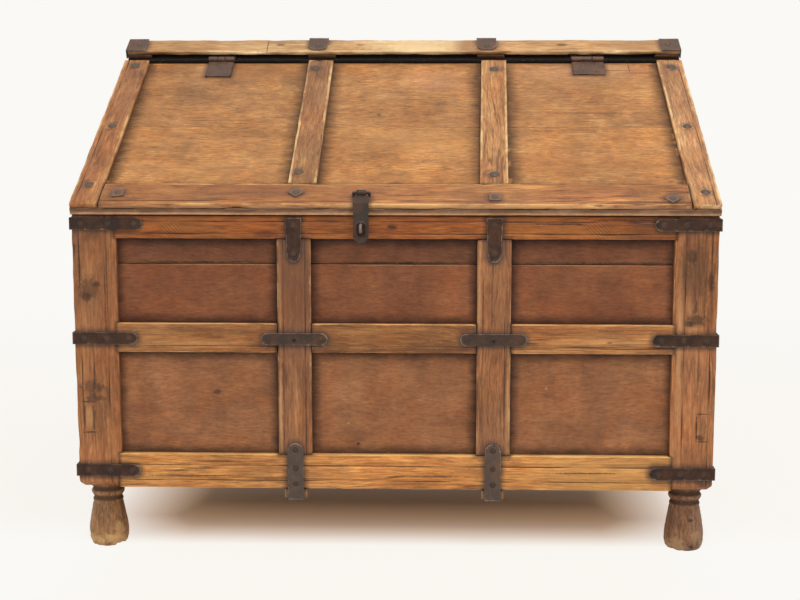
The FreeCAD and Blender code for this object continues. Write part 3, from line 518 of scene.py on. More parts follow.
def nearTree(names):
    points, faces = [], []
    for name in names:
        mesh = cadNodes[name].data
        start = len(points)
        points += [vert.co.copy() for vert in mesh.vertices]
        faces += [[start + index for index in face.vertices] for face in mesh.polygons]
    return BVHTree.FromPolygons(points, faces)


# Iron that stains the wood: all but the pins and the left side's nails
ironTree = nearTree([name for name in ironNodes if name not in ("hinge_pins", "left_side_nails")])


def nearness(tree, vert, reach):
    place = tree.find_nearest(vert.co, reach)[0]
    if place is None:
        return 0.0
    away = place - vert.co
    if away.dot(vert.normal) < -0.5 * away.length:  # behind the face
        return 0.0
    return 1 - away.length / reach


def mergedCopy(node, apart=2e-6):
    bm = bmesh.new()
    bm.from_mesh(cadNodes[node].data)
    bmesh.ops.remove_doubles(bm, verts=bm.verts, dist=apart)
    return bm


# Separate solids of a node, as boxes in the given place's own directions
def solidBoxes(node, place):
    bm = mergedCopy(node, 1e-6)
    bmesh.ops.transform(bm, matrix=place.inverted(), verts=bm.verts)
    seen, boxes = set(), []
    for first in bm.verts:
        if first.index in seen:
            continue
        seen.add(first.index)
        solid, waiting = [first], [first]
        while waiting:
            for edge in waiting.pop().link_edges:
                for vert in edge.verts:
                    if vert.index not in seen:
                        seen.add(vert.index)
                        solid.append(vert)
                        waiting.append(vert)
        boxes.append([Vector([pick(vert.co[axis] for vert in solid) for axis in range(3)])
                      for pick in (min, max)])
    bm.free()
    return sorted(boxes, key=lambda box: (round(box[0].x, 4), round(box[0].z, 4), round(box[0].y, 4)))


axes = {"x": 0, "y": 1, "z": 2}

# How a hand-worked piece wears, in millimetres: noise is the waves per metre from slow to quick,
# edgeTone the width and strength of a paler border, beads the scratched lines, dusty the dust on
# faces that look up, lean how far a length leans each way
handWork = {
    "arris": 1.2,
    "alongStep": 7,
    "acrossStep": 11,
    "noise": (24, 75, 190),
    "noiseAlong": 0.3,
    "wave": 0.5,
    "chip": 0.8,
    "chipReach": 5,
    "tearLevel": 0.36,
    "wearReach": 3,
    "edgeTone": (0, 0),
    "beadHalf": 1.2,
    "beadDepth": 0.9,
    # beadDirt: how much darker the scratched lines are
    "beadDirt": 0.6,
    "beadFading": 13,
    "beadFace": 1.5,
    # dirtReach: how near other wood a face darkens, with dirt and painted shade where pieces meet
    "dirtReach": 6,
    "stainReach": 13,
    "dusty": 0,
    "lean": 0,
    "tone": 1,
}


def finishMesh(bm, name):
    bmesh.ops.recalc_face_normals(bm, faces=bm.faces)
    mesh = bpy.data.meshes.new(name)
    bm.to_mesh(mesh)
    bm.free()
    mesh.polygons.foreach_set("use_smooth", [True] * len(mesh.polygons))
    made = bpy.data.objects.new(name, mesh)
    bpy.context.scene.collection.objects.link(made)
    return made


def cutAcross(bm, point, normal, clear=False):
    whole = bm.verts[:] + bm.edges[:] + bm.faces[:]
    made = bmesh.ops.bisect_plane(bm, geom=whole, dist=1e-7, plane_co=point, plane_no=normal,
                                  clear_outer=clear)
    if clear:
        rim = [item for item in made["geom_cut"] if isinstance(item, bmesh.types.BMEdge)]
        if rim:
            bmesh.ops.contextual_create(bm, geom=rim)


def newLayers(bm):
    return [bm.verts.layers.float.new(name) for name in ("wear", "dirt", "stain", "tone")]


# Presses a length's faces inwards as use has worn them, and notes where wear, stain, and dirt with
# painted shade lie
def wearLength(bm, low, high, grain, inverse, beads, seed, others, values):
    wearLayer, dirtAndShadeLayer, stainLayer, toneLayer = newLayers(bm)
    bm.normal_update()
    drift = Vector((seed * 3.1, seed * 1.3, seed * 2.7))
    pattern = Vector([values["noiseAlong"] if axis == grain else 1.0 for axis in range(3)])
    moves = []
    for vert in bm.verts:
        local = inverse @ vert.co
        depths = sorted(min(local[axis] - low[axis], high[axis] - local[axis]) for axis in range(3))
        toArris = max(depths[1], 0.0) / mm
        spread = Vector([local[axis] * pattern[axis] for axis in range(3)])
        slow, middle, quick = [noise.noise(spread * scale + drift) for scale in values["noise"]]
        inward = values["wave"] * (0.5 + 0.5 * slow)
        near = max(0.0, 1 - toArris / values["chipReach"])
        inward += values["chip"] * near * near * max(0.0, 0.3 + middle + 0.6 * quick)
        if middle > values["tearLevel"] and toArris < values["chipReach"] / 2:
            inward += values["chip"] * (middle - values["tearLevel"]) * 4
        for axis, spot, side in beads:
            face = high if side > 0 else low
            across = 3 - axes[axis] - grain
            aside, deep = abs(local[axes[axis]] - spot * mm), abs(local[across] - face[across])
            if aside < values["beadHalf"] * 0.6 * mm and deep < values["beadFace"] * mm:
                inward += values["beadDepth"] * (0.7 + 0.6 * slow)
                fading = noise.noise(Vector((local[grain] * values["beadFading"], spot, seed)))
                vert[dirtAndShadeLayer] = min(1.0, max(0.0, values["beadDirt"] + 1.4 * fading))
        wear = max(0.0, 1 - toArris / values["wearReach"]) * (0.75 + 0.5 * slow)
        if toArris < values["edgeTone"][0] - 0.1:
            wear = max(wear, values["edgeTone"][1] * (1 + 0.8 * slow))
        if values["dusty"] and vert.normal.z > 0.6:
            wear = max(wear, values["dusty"] * (1 + 0.5 * middle))
        vert[wearLayer] = wear
        vert[toneLayer] = values["tone"]
        vert[stainLayer] = nearness(ironTree, vert, values["stainReach"] * mm)
        # Darker near other wood: dirt and painted shade where pieces meet
        vert[dirtAndShadeLayer] = max(vert[dirtAndShadeLayer], nearness(others, vert, values["dirtReach"] * mm))
        moves.append((vert, vert.normal * (inward * mm)))
    for vert, move in moves:
        vert.co -= move
    if values["lean"]:
        middle, half = (low[grain] + high[grain]) / 2, (high[grain] - low[grain]) / 2
        for vert in bm.verts:
            vert.co.x += values["lean"] * mm * ((inverse @ vert.co)[grain] - middle) / half


# One worn length of wood: along is the grain's axis in the piece's own directions, clips are planes
# that cut it, beads are (axis, place, side) in millimetres, with side telling which face has them
def beam(name, box, along, others, place=upright, clips=(), beads=(), seed=0.0, **changes):
    values = {**handWork, **changes}
    low, high = box
    size = high - low
    grain = axes[along]
    bm = bmesh.new()
    bmesh.ops.create_cube(bm, size=1, matrix=place @ Matrix.Translation((low + high) / 2)
                          @ Matrix.Diagonal((*size, 1)))
    for point, normal in clips:
        cutAcross(bm, point, normal, clear=True)
    bmesh.ops.bevel(bm, geom=bm.edges[:], offset=values["arris"] * mm, segments=2, profile=0.5,
                    affect="EDGES", material=-1, clamp_overlap=True)
    cuts = []
    for axis in range(3):
        if axis == grain:
            continue
        steps = int(size[axis] / (values["acrossStep"] * mm))
        cuts += [(axis, low[axis] + size[axis] * step / (steps + 1)) for step in range(1, steps + 1)]
        for band in (values["wearReach"], values["edgeTone"][0]):
            if values["arris"] < band < size[axis] / mm / 3:
                cuts += [(axis, low[axis] + band * mm), (axis, high[axis] - band * mm)]
    for axis, spot, side in beads:
        cuts += [(axes[axis], (spot + offset * values["beadHalf"]) * mm)
                 for offset in (-1, -0.5, 0.5, 1)]
    for axis, spot in cuts:
        local = Vector([spot if index == axis else 0.0 for index in range(3)])
        cutAcross(bm, place @ local, place.to_3x3().col[axis])
    inverse = place.inverted()
    direction = inverse.to_3x3()
    runs = [(edge, direction @ (edge.verts[1].co - edge.verts[0].co)) for edge in bm.edges]
    longest = max(run.length for edge, run in runs)
    chosen = [edge for edge, run in runs
              if abs(run[grain]) > 0.95 * run.length and run.length > longest / 2]
    bmesh.ops.subdivide_edges(bm, edges=chosen, cuts=max(1, int(longest / (values["alongStep"] * mm))),
                              use_grid_fill=True)
    wearLength(bm, low, high, grain, inverse, beads, seed, others, values)
    return finishMesh(bm, name)


def joined(objects, name):
    with bpy.context.temp_override(active_object=objects[0], object=objects[0],
                                   selected_editable_objects=objects, selected_objects=objects):
        if len(objects) > 1:
            bpy.ops.object.join()
    objects[0].name = name
    objects[0].data.name = name
    return objects[0]


def seated(piece, body, replaced, material=None):
    if material:
        piece.data.materials.clear()
        piece.data.materials.append(material)
    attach(piece, body)
    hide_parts(replaced)


def pieceName(node):
    first, *rest = node.split("_")
    return first + "".join(word.title() for word in rest)


def underSlope(depth):
    return (nose - slopeNormal * chest[depth] * mm, slopeNormal)


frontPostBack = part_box("side_middle_rails")[0].y
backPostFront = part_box("side_middle_rails")[1].y


# Boxes of a node's wood: a rail without its tenons, a side's rail between the posts, a whole board,
# boards parted at their seams, or each solid's own box
def woodBoxes(node, kind, place):
    if kind in ("solids", "slopedRail"):
        boxes = solidBoxes(node, place)
        if kind == "slopedRail":
            boxes[0][0].z = -chest["slopedRailHeight"] * mm
        return boxes
    low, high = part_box(node)
    if kind == "rail":
        tenon = Vector((chest["tenon"], 0, 0)) * mm
        return [[low + tenon, high - tenon]]
    if kind == "sideRail":
        return [[Vector((low.x, frontPostBack, low.z)), Vector((high.x, backPostFront, high.z))]]
    if kind == "board":
        return [[low, high]]
    levels = [low.z, *[seam * mm for seam in chest["boardSeams"] if low.z < seam * mm < high.z], high.z]
    return [[Vector((low.x, low.y, bottom)), Vector((high.x, high.y, top))]
            for bottom, top in zip(levels, levels[1:])]


def neighbours(node, beside=()):
    return nearTree([other for other in woodNodes if other != node and other not in beside])


# Builds one node's wood as worn lengths and lays its material on; each gives a length changes of its
# own, colors change the look, and boards beside it leave no dirt and no painted shade on it
def buildWood(node, look, along, seed, kind="solids", body="carcase", slot="frame_wood", place=upright,
              marks=(), tint=(1, 1, 1), each=(), colors=None, beside=(), **options):
    name = pieceName(node)
    others = neighbours(node, beside)
    boxes = woodBoxes(node, kind, place)
    own = [*each, *[{}] * (len(boxes) - len(each))]
    lengths = [beam("%s%d" % (name, index), box, along, others, place=place, seed=seed + index * 0.61,
                    **{**options, **own[index]}) for index, box in enumerate(boxes)]
    grain = along if place is upright else slopeGrains[along]
    material = wood(name, look, grain, seed, marks=marks, tint=tint, **(colors or {}))
    seated(joined(lengths, name), body, node, material)


# Front frame and the boards behind it
# Boards darken along the frame in front of them: dirt and painted shade
boardWork = {"dirtReach": 20, "wave": 0.9, "alongStep": 9, "acrossStep": 8}
frontBoards = ("front_lower_board", "front_middle_board", "front_top_board")
frontBoardWork = {"look": "panel", "along": "x", "kind": "board", "slot": "panel_wood",
                  "beside": frontBoards, **boardWork}
frontPieces = {
    "front_bottom_rail": {
        "look": "frame", "along": "x", "kind": "rail", "seed": 1.3, "tint": (1.06, 1.06, 0.92),
        "dusty": 0.8, "beads": [("z", 137, -1), ("z", 113, -1)],
        "marks": frontMarks(
            (340, 128, 130, 40, 0.35, "pale", 0.6, 0.5), (262, 155, 18, 3, 0.6, "worn"),
            (300, 128, 60, 1.2, 0.8, "grime", 2.5), (-330, 120, 80, 1.2, 0.7, "grime", 2.5),
            (60, 121, 60, 1.2, 0.7, "grime", 2.5))},
    "front_top_rail": {
        "look": "frame", "along": "x", "kind": "rail", "seed": 2.1, "tint": (0.57, 0.39, 0.21),
        "clips": [underSlope("frontGap")], "beads": [("z", 504, -1), ("z", 523, -1)],
        "marks": frontMarks(
            (310, 508, 160, 12, 0.35, "pale", 0.8, 0.4), (-345, 513, 24, 16, 0.5, "saw", 0.6),
            (315, 513, 24, 16, 0.5, "saw", 0.6), (375, 513, 60, 25, 0.45, "grime", 0.8, 0.1),
            # (-50, 508) darkens the rail seen through the hasp's slot: iron stain and painted shade
            (-195, 503, 24, 6, 0.5), (-4, 515, 9, 3.5, 0.8), (-50, 508, 11, 22, 0.9, "grime", 0.3),
            (250, 520, 40, 1.4, 0.8, "grime", 2.5))},
    "front_middle_rails": {
        "look": "frame", "along": "x", "seed": 3.7, "tint": (0.93, 0.85, 0.8), "dusty": 0.8,
        "each": [{"tone": 0.64}, {"tone": 0.57}, {"tone": 0.86}], "beads": [("z", 328, -1)],
        "marks": frontMarks(
            (334, 336, 6, 2.5, 0.85), (-300, 352, 130, 9, 0.4, "grime", 0.8, 0.2),
            (300, 352, 130, 9, 0.3, "grime", 0.8, 0.2), (-310, 331, 110, 7, 0.35, "worn", 0.9, 0.1),
            (320, 338, 90, 12, 0.25, "worn", 0.9, 0.1))},
    "front_muntins": {
        "look": "post", "along": "z", "seed": 4.9, "tint": (1, 0.99, 1.04), "edgeTone": (4, 0.4),
        "each": [{"tone": 0.72}, {"tone": 0.68}],
        "beads": [("x", -172, -1), ("x", -138, -1), ("x", 138, -1), ("x", 172, -1)],
        "marks": frontMarks(
            (-155, 440, 40, 120, 0.55, "dark", 0.6, 0.6), (-155, 430, 40, 80, 0.25, "grime", 0.6, 0.3),
            (-177, 235, 3, 90, 0.4, "worn", 1.0, 0.3), (-177, 400, 3, 90, 0.2, "worn", 1.0, 0.3),
            (132, 400, 3, 90, 0.3, "worn", 1.0, 0.3), (177, 240, 3, 90, 0.3, "worn", 1.0, 0.3))},
    "front_lower_board": {
        **frontBoardWork, "seed": 5.3, "tint": (0.84, 0.83, 0.77),
        "marks": frontMarks(
            (-57, 170, 3.5, 3.5, 0.9), (-72, 203, 2.5, 2.5, 0.8, "worn"),
            (238, 261, 2.5, 2.5, 0.8, "worn"), (-279, 252, 7, 5, 0.6))},
    "front_middle_board": {
        **frontBoardWork, "seed": 6.2, "tint": (0.64, 0.52, 0.43),
        "marks": frontMarks(
            (330, 432, 24, 12, 0.3, "grime", 1.0, 0.2),
            *[(x, 455, 75, 1.5, 0.75, "worn", 2.6) for x in (-290, -215, -20, 50, 270, 350)])},
    "front_top_board": {
        **frontBoardWork, "seed": 7.7, "tint": (0.48, 0.4, 0.34),
        "marks": frontMarks(
            *[(x, 458, 90, 2.6, 0.7, "grime", 2.2, 0.3) for x in (-330, -230, -30, 60, 250, 380)])},
}
for node, values in frontPieces.items():
    buildWood(node, **values)
print("front frame made")

# Back
rough = {"look": "rough", "along": "x", "alongStep": 10}
backPieces = {
    "back_bottom_rail": {**rough, "kind": "rail", "seed": 8.4},
    "back_top_rail": {**rough, "kind": "rail", "seed": 9.1, "clips": [underSlope("restGap")]},
    "back_middle_rails": {**rough, "seed": 10.6},
    "back_muntins": {**rough, "along": "z", "seed": 11.2},
    "back_boards": {**rough, "kind": "seamed", "slot": "rough_wood", "seed": 12.8, "dirtReach": 10,
                    "wave": 0.9, "alongStep": 12},
}
for node, values in backPieces.items():
    buildWood(node, **values)

# Each side, with its sign along X
betweenPosts = [(Vector((0, frontPostBack, 0)), Vector((0, -1, 0))),
                (Vector((0, backPostFront, 0)), Vector((0, 1, 0)))]
for side, sign in (("left", -1), ("right", 1)):
    sidePieces = {
        "bottom_rail": {"look": "frame", "kind": "sideRail", "seed": 13.3,
                        "beads": [("z", 141, sign), ("z", 112, sign)]},
        "sloped_rail": {"look": "frame", "kind": "slopedRail", "seed": 15.9, "place": onSlope,
                        "clips": betweenPosts},
        "side_boards": {"look": "panel", "kind": "seamed", "slot": "rough_wood", "seed": 18.1,
                        "clips": [underSlope("sideBoardTop")], "tint": (0.75, 0.68, 0.62), **boardWork},
    }
    for part, values in sidePieces.items():
        values["seed"] += sign
        buildWood("%s_%s" % (side, part), along="y", **values)

# What both sides share, and the floor
lowerPieces = {
    "side_middle_rails": {"look": "frame", "along": "y", "seed": 20.4},
    "side_muntins": {"look": "post", "along": "z", "seed": 21.7,
                     "clips": [underSlope("slopedRailHeight")]},
    "bottom_bearers": {**rough, "along": "y", "slot": "rough_wood", "seed": 22.5, "alongStep": 12},
    "bottom_boards": {**rough, "slot": "rough_wood", "seed": 23.9, "alongStep": 14, "acrossStep": 16},
}
for node, values in lowerPieces.items():
    buildWood(node, **values)
print("back, sides and floor made")

# Posts with their turned feet, in millimetres; rings run from the root down as radius and level
foot = {
    "rings": ((26.9, 100), (26.9, 95.5), (23.0, 93), (25.0, 90), (26.9, 87), (26.6, 84), (23.7, 79),
              (22.1, 76.5), (24.3, 74.5), (24.6, 71.5), (23.7, 69), (25.0, 66), (26.9, 56), (29.1, 44),
              (31.0, 32), (32.0, 22), (31.7, 12), (29.8, 4), (26.9, 0)),
    "grooves": ((73, 81), (90, 97)),
    "inset": 38,
    "root": 110,
    "shoulder": 8,
    "steps": 64,
    "longEdge": 7,
    "cuts": 4,
    "noise": (34, 130),
    "wave": 1.2,
    "chip": 4.0,
    "chipHeight": 26,
    # grooveDirt: how much darker the turned grooves are
    "grooveDirt": 1.0,
    "dirt": 0.15,
    "underCut": 2.2,
    "underReach": 30,
}


def turnedFoot(name, centre, seed):
    bm = bmesh.new()
    profile = [(0.0, foot["root"]), (foot["rings"][0][0], foot["root"]), *foot["rings"], (0.0, 0.0)]
    points = [bm.verts.new((centre.x + radius * mm, centre.y, level * mm)) for radius, level in profile]
    edges = [bm.edges.new(pair) for pair in zip(points, points[1:])]
    bmesh.ops.spin(bm, geom=points + edges, cent=(centre.x, centre.y, 0), axis=(0, 0, 1),
                   angle=math.tau, steps=foot["steps"], use_merge=True)
    bmesh.ops.remove_doubles(bm, verts=bm.verts, dist=1e-6)
    uprights = [edge for edge in bm.edges
                if abs(edge.verts[0].co.z - edge.verts[1].co.z) > foot["longEdge"] * mm]
    bmesh.ops.subdivide_edges(bm, edges=uprights, cuts=foot["cuts"])
    wearLayer, dirtAndShadeLayer, stainLayer, toneLayer = newLayers(bm)
    drift = Vector((seed, seed * 2, seed * 3))
    for vert in bm.verts:
        vert[toneLayer] = 1
        out = Vector((vert.co.x - centre.x, vert.co.y - centre.y, 0))
        if out.length < 1 * mm:
            continue
        slow, quick = [noise.noise(vert.co * scale + drift) for scale in foot["noise"]]
        inward = foot["wave"] * (0.5 + 0.5 * slow + 0.5 * abs(quick))
        low = max(0.0, 1 - vert.co.z / mm / foot["chipHeight"])
        inward += foot["chip"] * low * max(0.0, slow + 0.7 * quick + 0.15) * 1.6
        grooved = any(bottom * mm < vert.co.z < top * mm for bottom, top in foot["grooves"])
        vert[wearLayer] = min(1.0, low * (0.8 + slow) + max(0.0, quick) * 0.35)
        vert[dirtAndShadeLayer] = foot["grooveDirt"] if grooved else foot["dirt"]
        vert.co -= out.normalized() * (inward * mm)
        if vert.co.z < 0.5 * mm:
            hollow = max(0.0, slow + 0.5 * quick) * foot["underCut"]
            vert.co.z += hollow * mm * out.length / (foot["underReach"] * mm)
    return finishMesh(bm, name)


postWork = {"arris": 2.0, "chip": 2.2, "chipReach": 8, "wave": 1.8}
postLook = {"bump": 0.45, "tint": (0.8, 0.75, 0.75)}
footLook = {"bump": 0.6, "tint": (0.9, 0.85, 0.8)}
posts = {
    "front_left_post": {
        "seed": 24.3, "clips": [underSlope("frontGap")], "beads": [("x", -447, -1), ("x", -489, -1)],
        "foot": {"tint": (0.92, 0.84, 0.68), "marks": frontMarks(
            (-452, 14, 16, 9, 0.7, "worn", 2.6), (-482, 12, 14, 8, 0.6, "worn", 2.6),
            (-440, 26, 7, 16, 0.5, "worn", 2.4))},
        "block": {"tint": (0.9, 0.85, 0.8), "marks": frontMarks(
            (-468, 440, 45, 120, 0.45, "dark", 0.8, 0.5), (-474, 418, 18, 20, 0.6, "grime", 1.8),
            (-480, 405, 10, 8, 0.7), (-464, 424, 7, 5, 0.7),
            (-464, 230, 28, 42, 0.35, "grime", 1.8, 0.3), (-489, 455, 2, 40, 0.7, "grime", 2.0),
            (-470, 285, 1.4, 26, 0.8, "grime", 2.0), (-480, 238, 11, 2, 0.7, "grime", 2.6),
            (-474, 262, 22, 12, 0.5, "grime", 2.4), (-470, 244, 16, 5, 0.6, "grime", 2.6),
            (-487, 215, 1.6, 26, 0.7, "grime", 2.0), (-473, 212, 1.6, 24, 0.7, "grime", 2.0),
            (-480, 214, 6, 20, 0.35, "worn", 1.2), (-480, 189, 10, 1.8, 0.7, "grime", 2.4),
            (-470, 500, 26, 10, 0.4, "grime", 1.4, 0.2), (-497, 480, 3, 12, 0.7),
            (-450, 400, 1.2, 70, 0.7, "grime", 2.2))}},
    "front_right_post": {
        "seed": 26.8, "clips": [underSlope("frontGap")], "beads": [("x", 489, -1), ("x", 449, -1)],
        "foot": {"tint": (0.66, 0.6, 0.6), "marks": frontMarks(
            # the first three small dark spots are its holes, painted shade in them
            (468, 50, 5, 3.5, 0.9), (470, 7, 4, 3, 0.9), (456, 13, 3, 3, 0.9),
            (446, 12, 14, 10, 0.6, "worn", 2.4), (476, 24, 9, 12, 0.5, "worn", 2.4))},
        "block": {"tint": (0.92, 0.9, 0.9), "marks": frontMarks(
            (466, 450, 36, 75, 0.55, "grime", 1.2, 0.3), (458, 470, 9, 12, 0.6), (488, 430, 5, 18, 0.7),
            (466, 372, 17, 11, 0.75, "grime", 1.9), (456, 366, 8, 6, 0.7), (466, 392, 3, 12, 0.7),
            (490, 271, 1.2, 32, 0.9, "grime", 1.8), (472, 300, 1.2, 40, 0.6, "grime", 2.2),
            (481, 202, 8, 20, 0.35), (471.5, 202, 1.4, 22, 0.9, "grime", 1.6),
            (478, 186, 6, 5, 0.7, "grime", 1.8), (481, 180, 10, 1.4, 0.8, "grime", 1.8),
            (481, 224, 10, 1.4, 0.7, "grime", 1.8), (483, 114, 12, 8, 0.6),
            (442, 300, 5, 160, 0.35, "worn", 1.2, 0.2))}},
    "back_left_post": {"seed": 28.1, "clips": [underSlope("restGap")]},
    "back_right_post": {"seed": 30.6, "clips": [underSlope("restGap")]},
}
for node, values in posts.items():
    name, seed = pieceName(node), values["seed"]
    low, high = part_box(node)
    rim = (chest["footHeight"] + foot["shoulder"]) * mm
    shoulders = [(Vector((corner.x * abs(x), corner.y * abs(y), rim)), Vector((x, y, -1)).normalized())
                 for corner, way in ((low, -1), (high, 1)) for x, y in ((way, 0), (0, way))]
    block = beam(name + "Block", [Vector((low.x, low.y, chest["footHeight"] * mm)), high], "z",
                 neighbours(node), clips=[*values["clips"], *shoulders],
                 beads=values.get("beads", ()), seed=seed, **postWork)
    inset = foot["inset"] * mm
    centre = Vector((low.x + inset if low.x < 0 else high.x - inset,
                     low.y + inset if low.y < 0 else high.y - inset, 0))
    stand = turnedFoot(name + "Foot", centre, seed)
    block.data.materials.append(
        wood(name, "post", "z", seed, **{**postLook, **values.get("block", {})}))
    stand.data.materials.append(
        wood(name + "Foot", "foot", "z", seed + 1, **{**footLook, **values.get("foot", {})}))
    seated(joined([block, stand], name), "carcase", node)
print("posts made")

# Fixed roof strip and the lid, in the slope's own directions
# Lid boards darken along the stiles, muntins and rails: dirt and painted shade
lidBoardWork = {"body": "lid", "look": "lidBoard", "along": "x", "slot": "lid_wood", "dirtReach": 30,
                "wave": 0.8, "acrossStep": 8, "arris": 0.4, "wearReach": 1, "chip": 0.2,
                "beside": ("lid_lower_board", "lid_upper_board")}
lidFrameWork = {"body": "lid", "look": "lidFrame", "chip": 1.6}
lidStileWork = {**lidFrameWork, "along": "y", "edgeTone": (6, 0.6)}
slopePieces = {
    # Roof board: the band mark at 500 up the slope, in the near-black colour below, paints its front
    # and top where they show through the gap under the strip: painted shade of the narrow void
    "roof_board": {
        "look": "rough", "along": "x", "slot": "rough_wood", "seed": 32.2, "tint": (0.6, 0.55, 0.5),
        "dirtReach": 30, "wearReach": 0.5, "colors": {"sheen": 0.9, "grime": (0.012, 0.006, 0.003)},
        "marks": [bandMark(500, 20, 64, 0.96, "grime", 0.1, 0.85)]},
    "strip_blocks": {"look": "lidFrame", "along": "y", "seed": 33.4, "tint": (0.5, 0.42, 0.4)},
    "top_strip": {
        "look": "strip", "along": "x", "seed": 34.6, "chip": 1.8, "tint": (0.98, 1.04, 1.1),
        "edgeTone": (5, 0.4),
        "marks": slopeMarks(26,
            (-222, 545, 9, 5, 0.7), (-76, 545, 9, 4, 0.7), (290, 545, 11, 6, 0.75),
            (-245, 542, 1.2, 40, 0.8), (30, 542, 110, 60, 0.62, "worn", 1.4, 0.3),
            (142, 542, 46, 60, 0.75, "dark", 0.9, 0.7), (-390, 542, 90, 60, 0.35, "dark", 0.9, 0.4),
            (420, 542, 80, 60, 0.5, "dark", 0.9, 0.5))},
    "lid_lower_board": {
        **lidBoardWork, "seed": 35.2, "tint": (0.86, 0.82, 0.71),
        "marks": [noseMark(0.85), *slopeMarks(11,
            (0, 62, 16, 25, 0.85, "grime", 0.5), (-30, 170, 60, 8, 0.2, "grime", 1.4, 0.1),
            (-300, 120, 170, 40, 0.2, "pale", 2.0, 0.2), (40, 210, 120, 50, 0.25, "pale", 2.0, 0.2),
            (330, 120, 120, 40, 0.25, "dark", 2.0, 0.2), (10, 90, 100, 30, 0.25, "dark", 2.0, 0.2),
            (300, 240, 30, 3, 0.35, "worn", 2.0), (-380, 190, 70, 12, 0.2, "grime", 1.4, 0.1))]},
    "lid_upper_board": {
        **lidBoardWork, "seed": 35.9, "tint": (0.83, 0.8, 0.73),
        "marks": slopeMarks(11,
            (-370, 385, 80, 44, 0.45, "grime", 1.6, 0.1), (-292, 425, 45, 16, 0.5, "grime", 1.4, 0.2),
            (-195, 425, 28, 34, 0.45, "grime", 1.6, 0.1), (-420, 470, 60, 26, 0.35, "grime", 1.4, 0.1),
            (-357, 480, 15, 13, 0.65, "worn", 1.0), (5, 420, 13, 34, 0.3, "worn", 1.6, 0.2),
            (-20, 372, 36, 12, 0.3, "worn", 1.6, 0.2), (-105, 335, 20, 9, 0.3, "worn", 1.6, 0.2),
            (-34, 305, 5, 5, 0.6), (321, 312, 75, 3.5, 0.5, "grime", 2.2),
            (331, 287, 24, 3, 0.45, "worn", 2.0), (388, 270, 16, 3, 0.4, "worn", 2.0),
            (280, 330, 26, 3, 0.35, "worn", 2.0), (386, 481, 19, 19, 0.3, "worn", 1.0),
            (405, 481, 1.2, 19, 0.9), (420, 462, 32, 1.4, 0.8),
            (200, 480, 60, 14, 0.3, "grime", 1.4, 0.1), (80, 350, 26, 9, 0.3, "grime", 1.4, 0.2),
            (-290, 460, 160, 60, 0.5, "dark", 1.4, 0.2), (320, 440, 130, 60, 0.3, "dark", 1.6, 0.2),
            (320, 470, 150, 60, 0.18, "dust", 1.4, 0.2), (60, 430, 60, 60, 0.2, "dust", 1.8, 0.2),
            (-260, 380, 110, 40, 0.3, "dark", 2.0, 0.2), (360, 501, 100, 2, 0.6, "grime", 1.0),
            (372, 471, 33, 1.4, 0.8))},
    "lid_left_stile": {
        **lidStileWork, "seed": 41.1, "tint": (0.83, 0.74, 0.65), "beads": [("x", -491.15, 1)],
        "marks": slopeMarks(20, (-470, 440, 20, 60, 0.35, "grime", 1.2, 0.2))},
    "lid_right_stile": {
        **lidStileWork, "seed": 42.1, "tint": (1.02, 1.08, 1.2), "beads": [("x", 491.15, 1)],
        "marks": slopeMarks(20, (470, 440, 20, 60, 0.35, "grime", 1.2, 0.2))},
    "lid_front_rail": {
        **lidFrameWork, "along": "x", "seed": 44.5, "tint": (0.92, 0.81, 0.68), "edgeTone": (4, 0.62),
        "beads": [("y", 10, 1)], "dirtReach": 3,
        "marks": [noseMark(0.5), *slopeMarks(20,
            (430, 30, 70, 40, 0.45, "grime", 1.0, 0.1), (-430, 30, 50, 40, 0.4, "grime", 1.0, 0.1),
            (-250, 30, 220, 60, 0.5, "dark", 0.8, 0.3), (-210, 30, 90, 9, 0.35, "grime", 1.4, 0.1),
            (250, 40, 90, 8, 0.3, "grime", 1.4, 0.1))]},
    "lid_muntins": {
        **lidFrameWork, "along": "y", "seed": 46.3, "edgeTone": (7, 0.58),
        "each": [{"tone": 0.73}, {"tone": 0.94, "lean": 5}],
        "marks": slopeMarks(20,
            (-145, 460, 18, 50, 0.3, "grime", 1.2, 0.2), (160, 90, 16, 40, 0.35, "grime", 1.2, 0.2))},
}
for node, values in slopePieces.items():
    buildWood(node, place=onSlope, **values)
print("lid made")

# Ironwork: copies of the forged solids with their arrises hammered round and their faces uneven
forge = {"arris": 0.7, "dent": 0.35, "dentScale": 110, "sharp": 35, "step": 7, "passes": 3}


def splitWide(bm):
    bmesh.ops.triangulate(bm, faces=[face for face in bm.faces if len(face.verts) > 4])


# Moves a point of a strap whose end is drawn out: from is the lowest level that moves
def drawnOut(point, values):
    if values and point.z > values["from"] * mm and point.x < values["end"] * mm / 2:
        part = (point.x / mm - values["start"]) / (values["end"] - values["start"])
        point.x += values["by"] * mm * min(max(part, 0), 1)


# Narrows a strap towards its lower tip
def tapered(point, low, high, share):
    middle = math.copysign(chest["muntinPlace"] * mm, point.x)
    point.x += (middle - point.x) * share * (high.z - point.z) / (high.z - low.z)


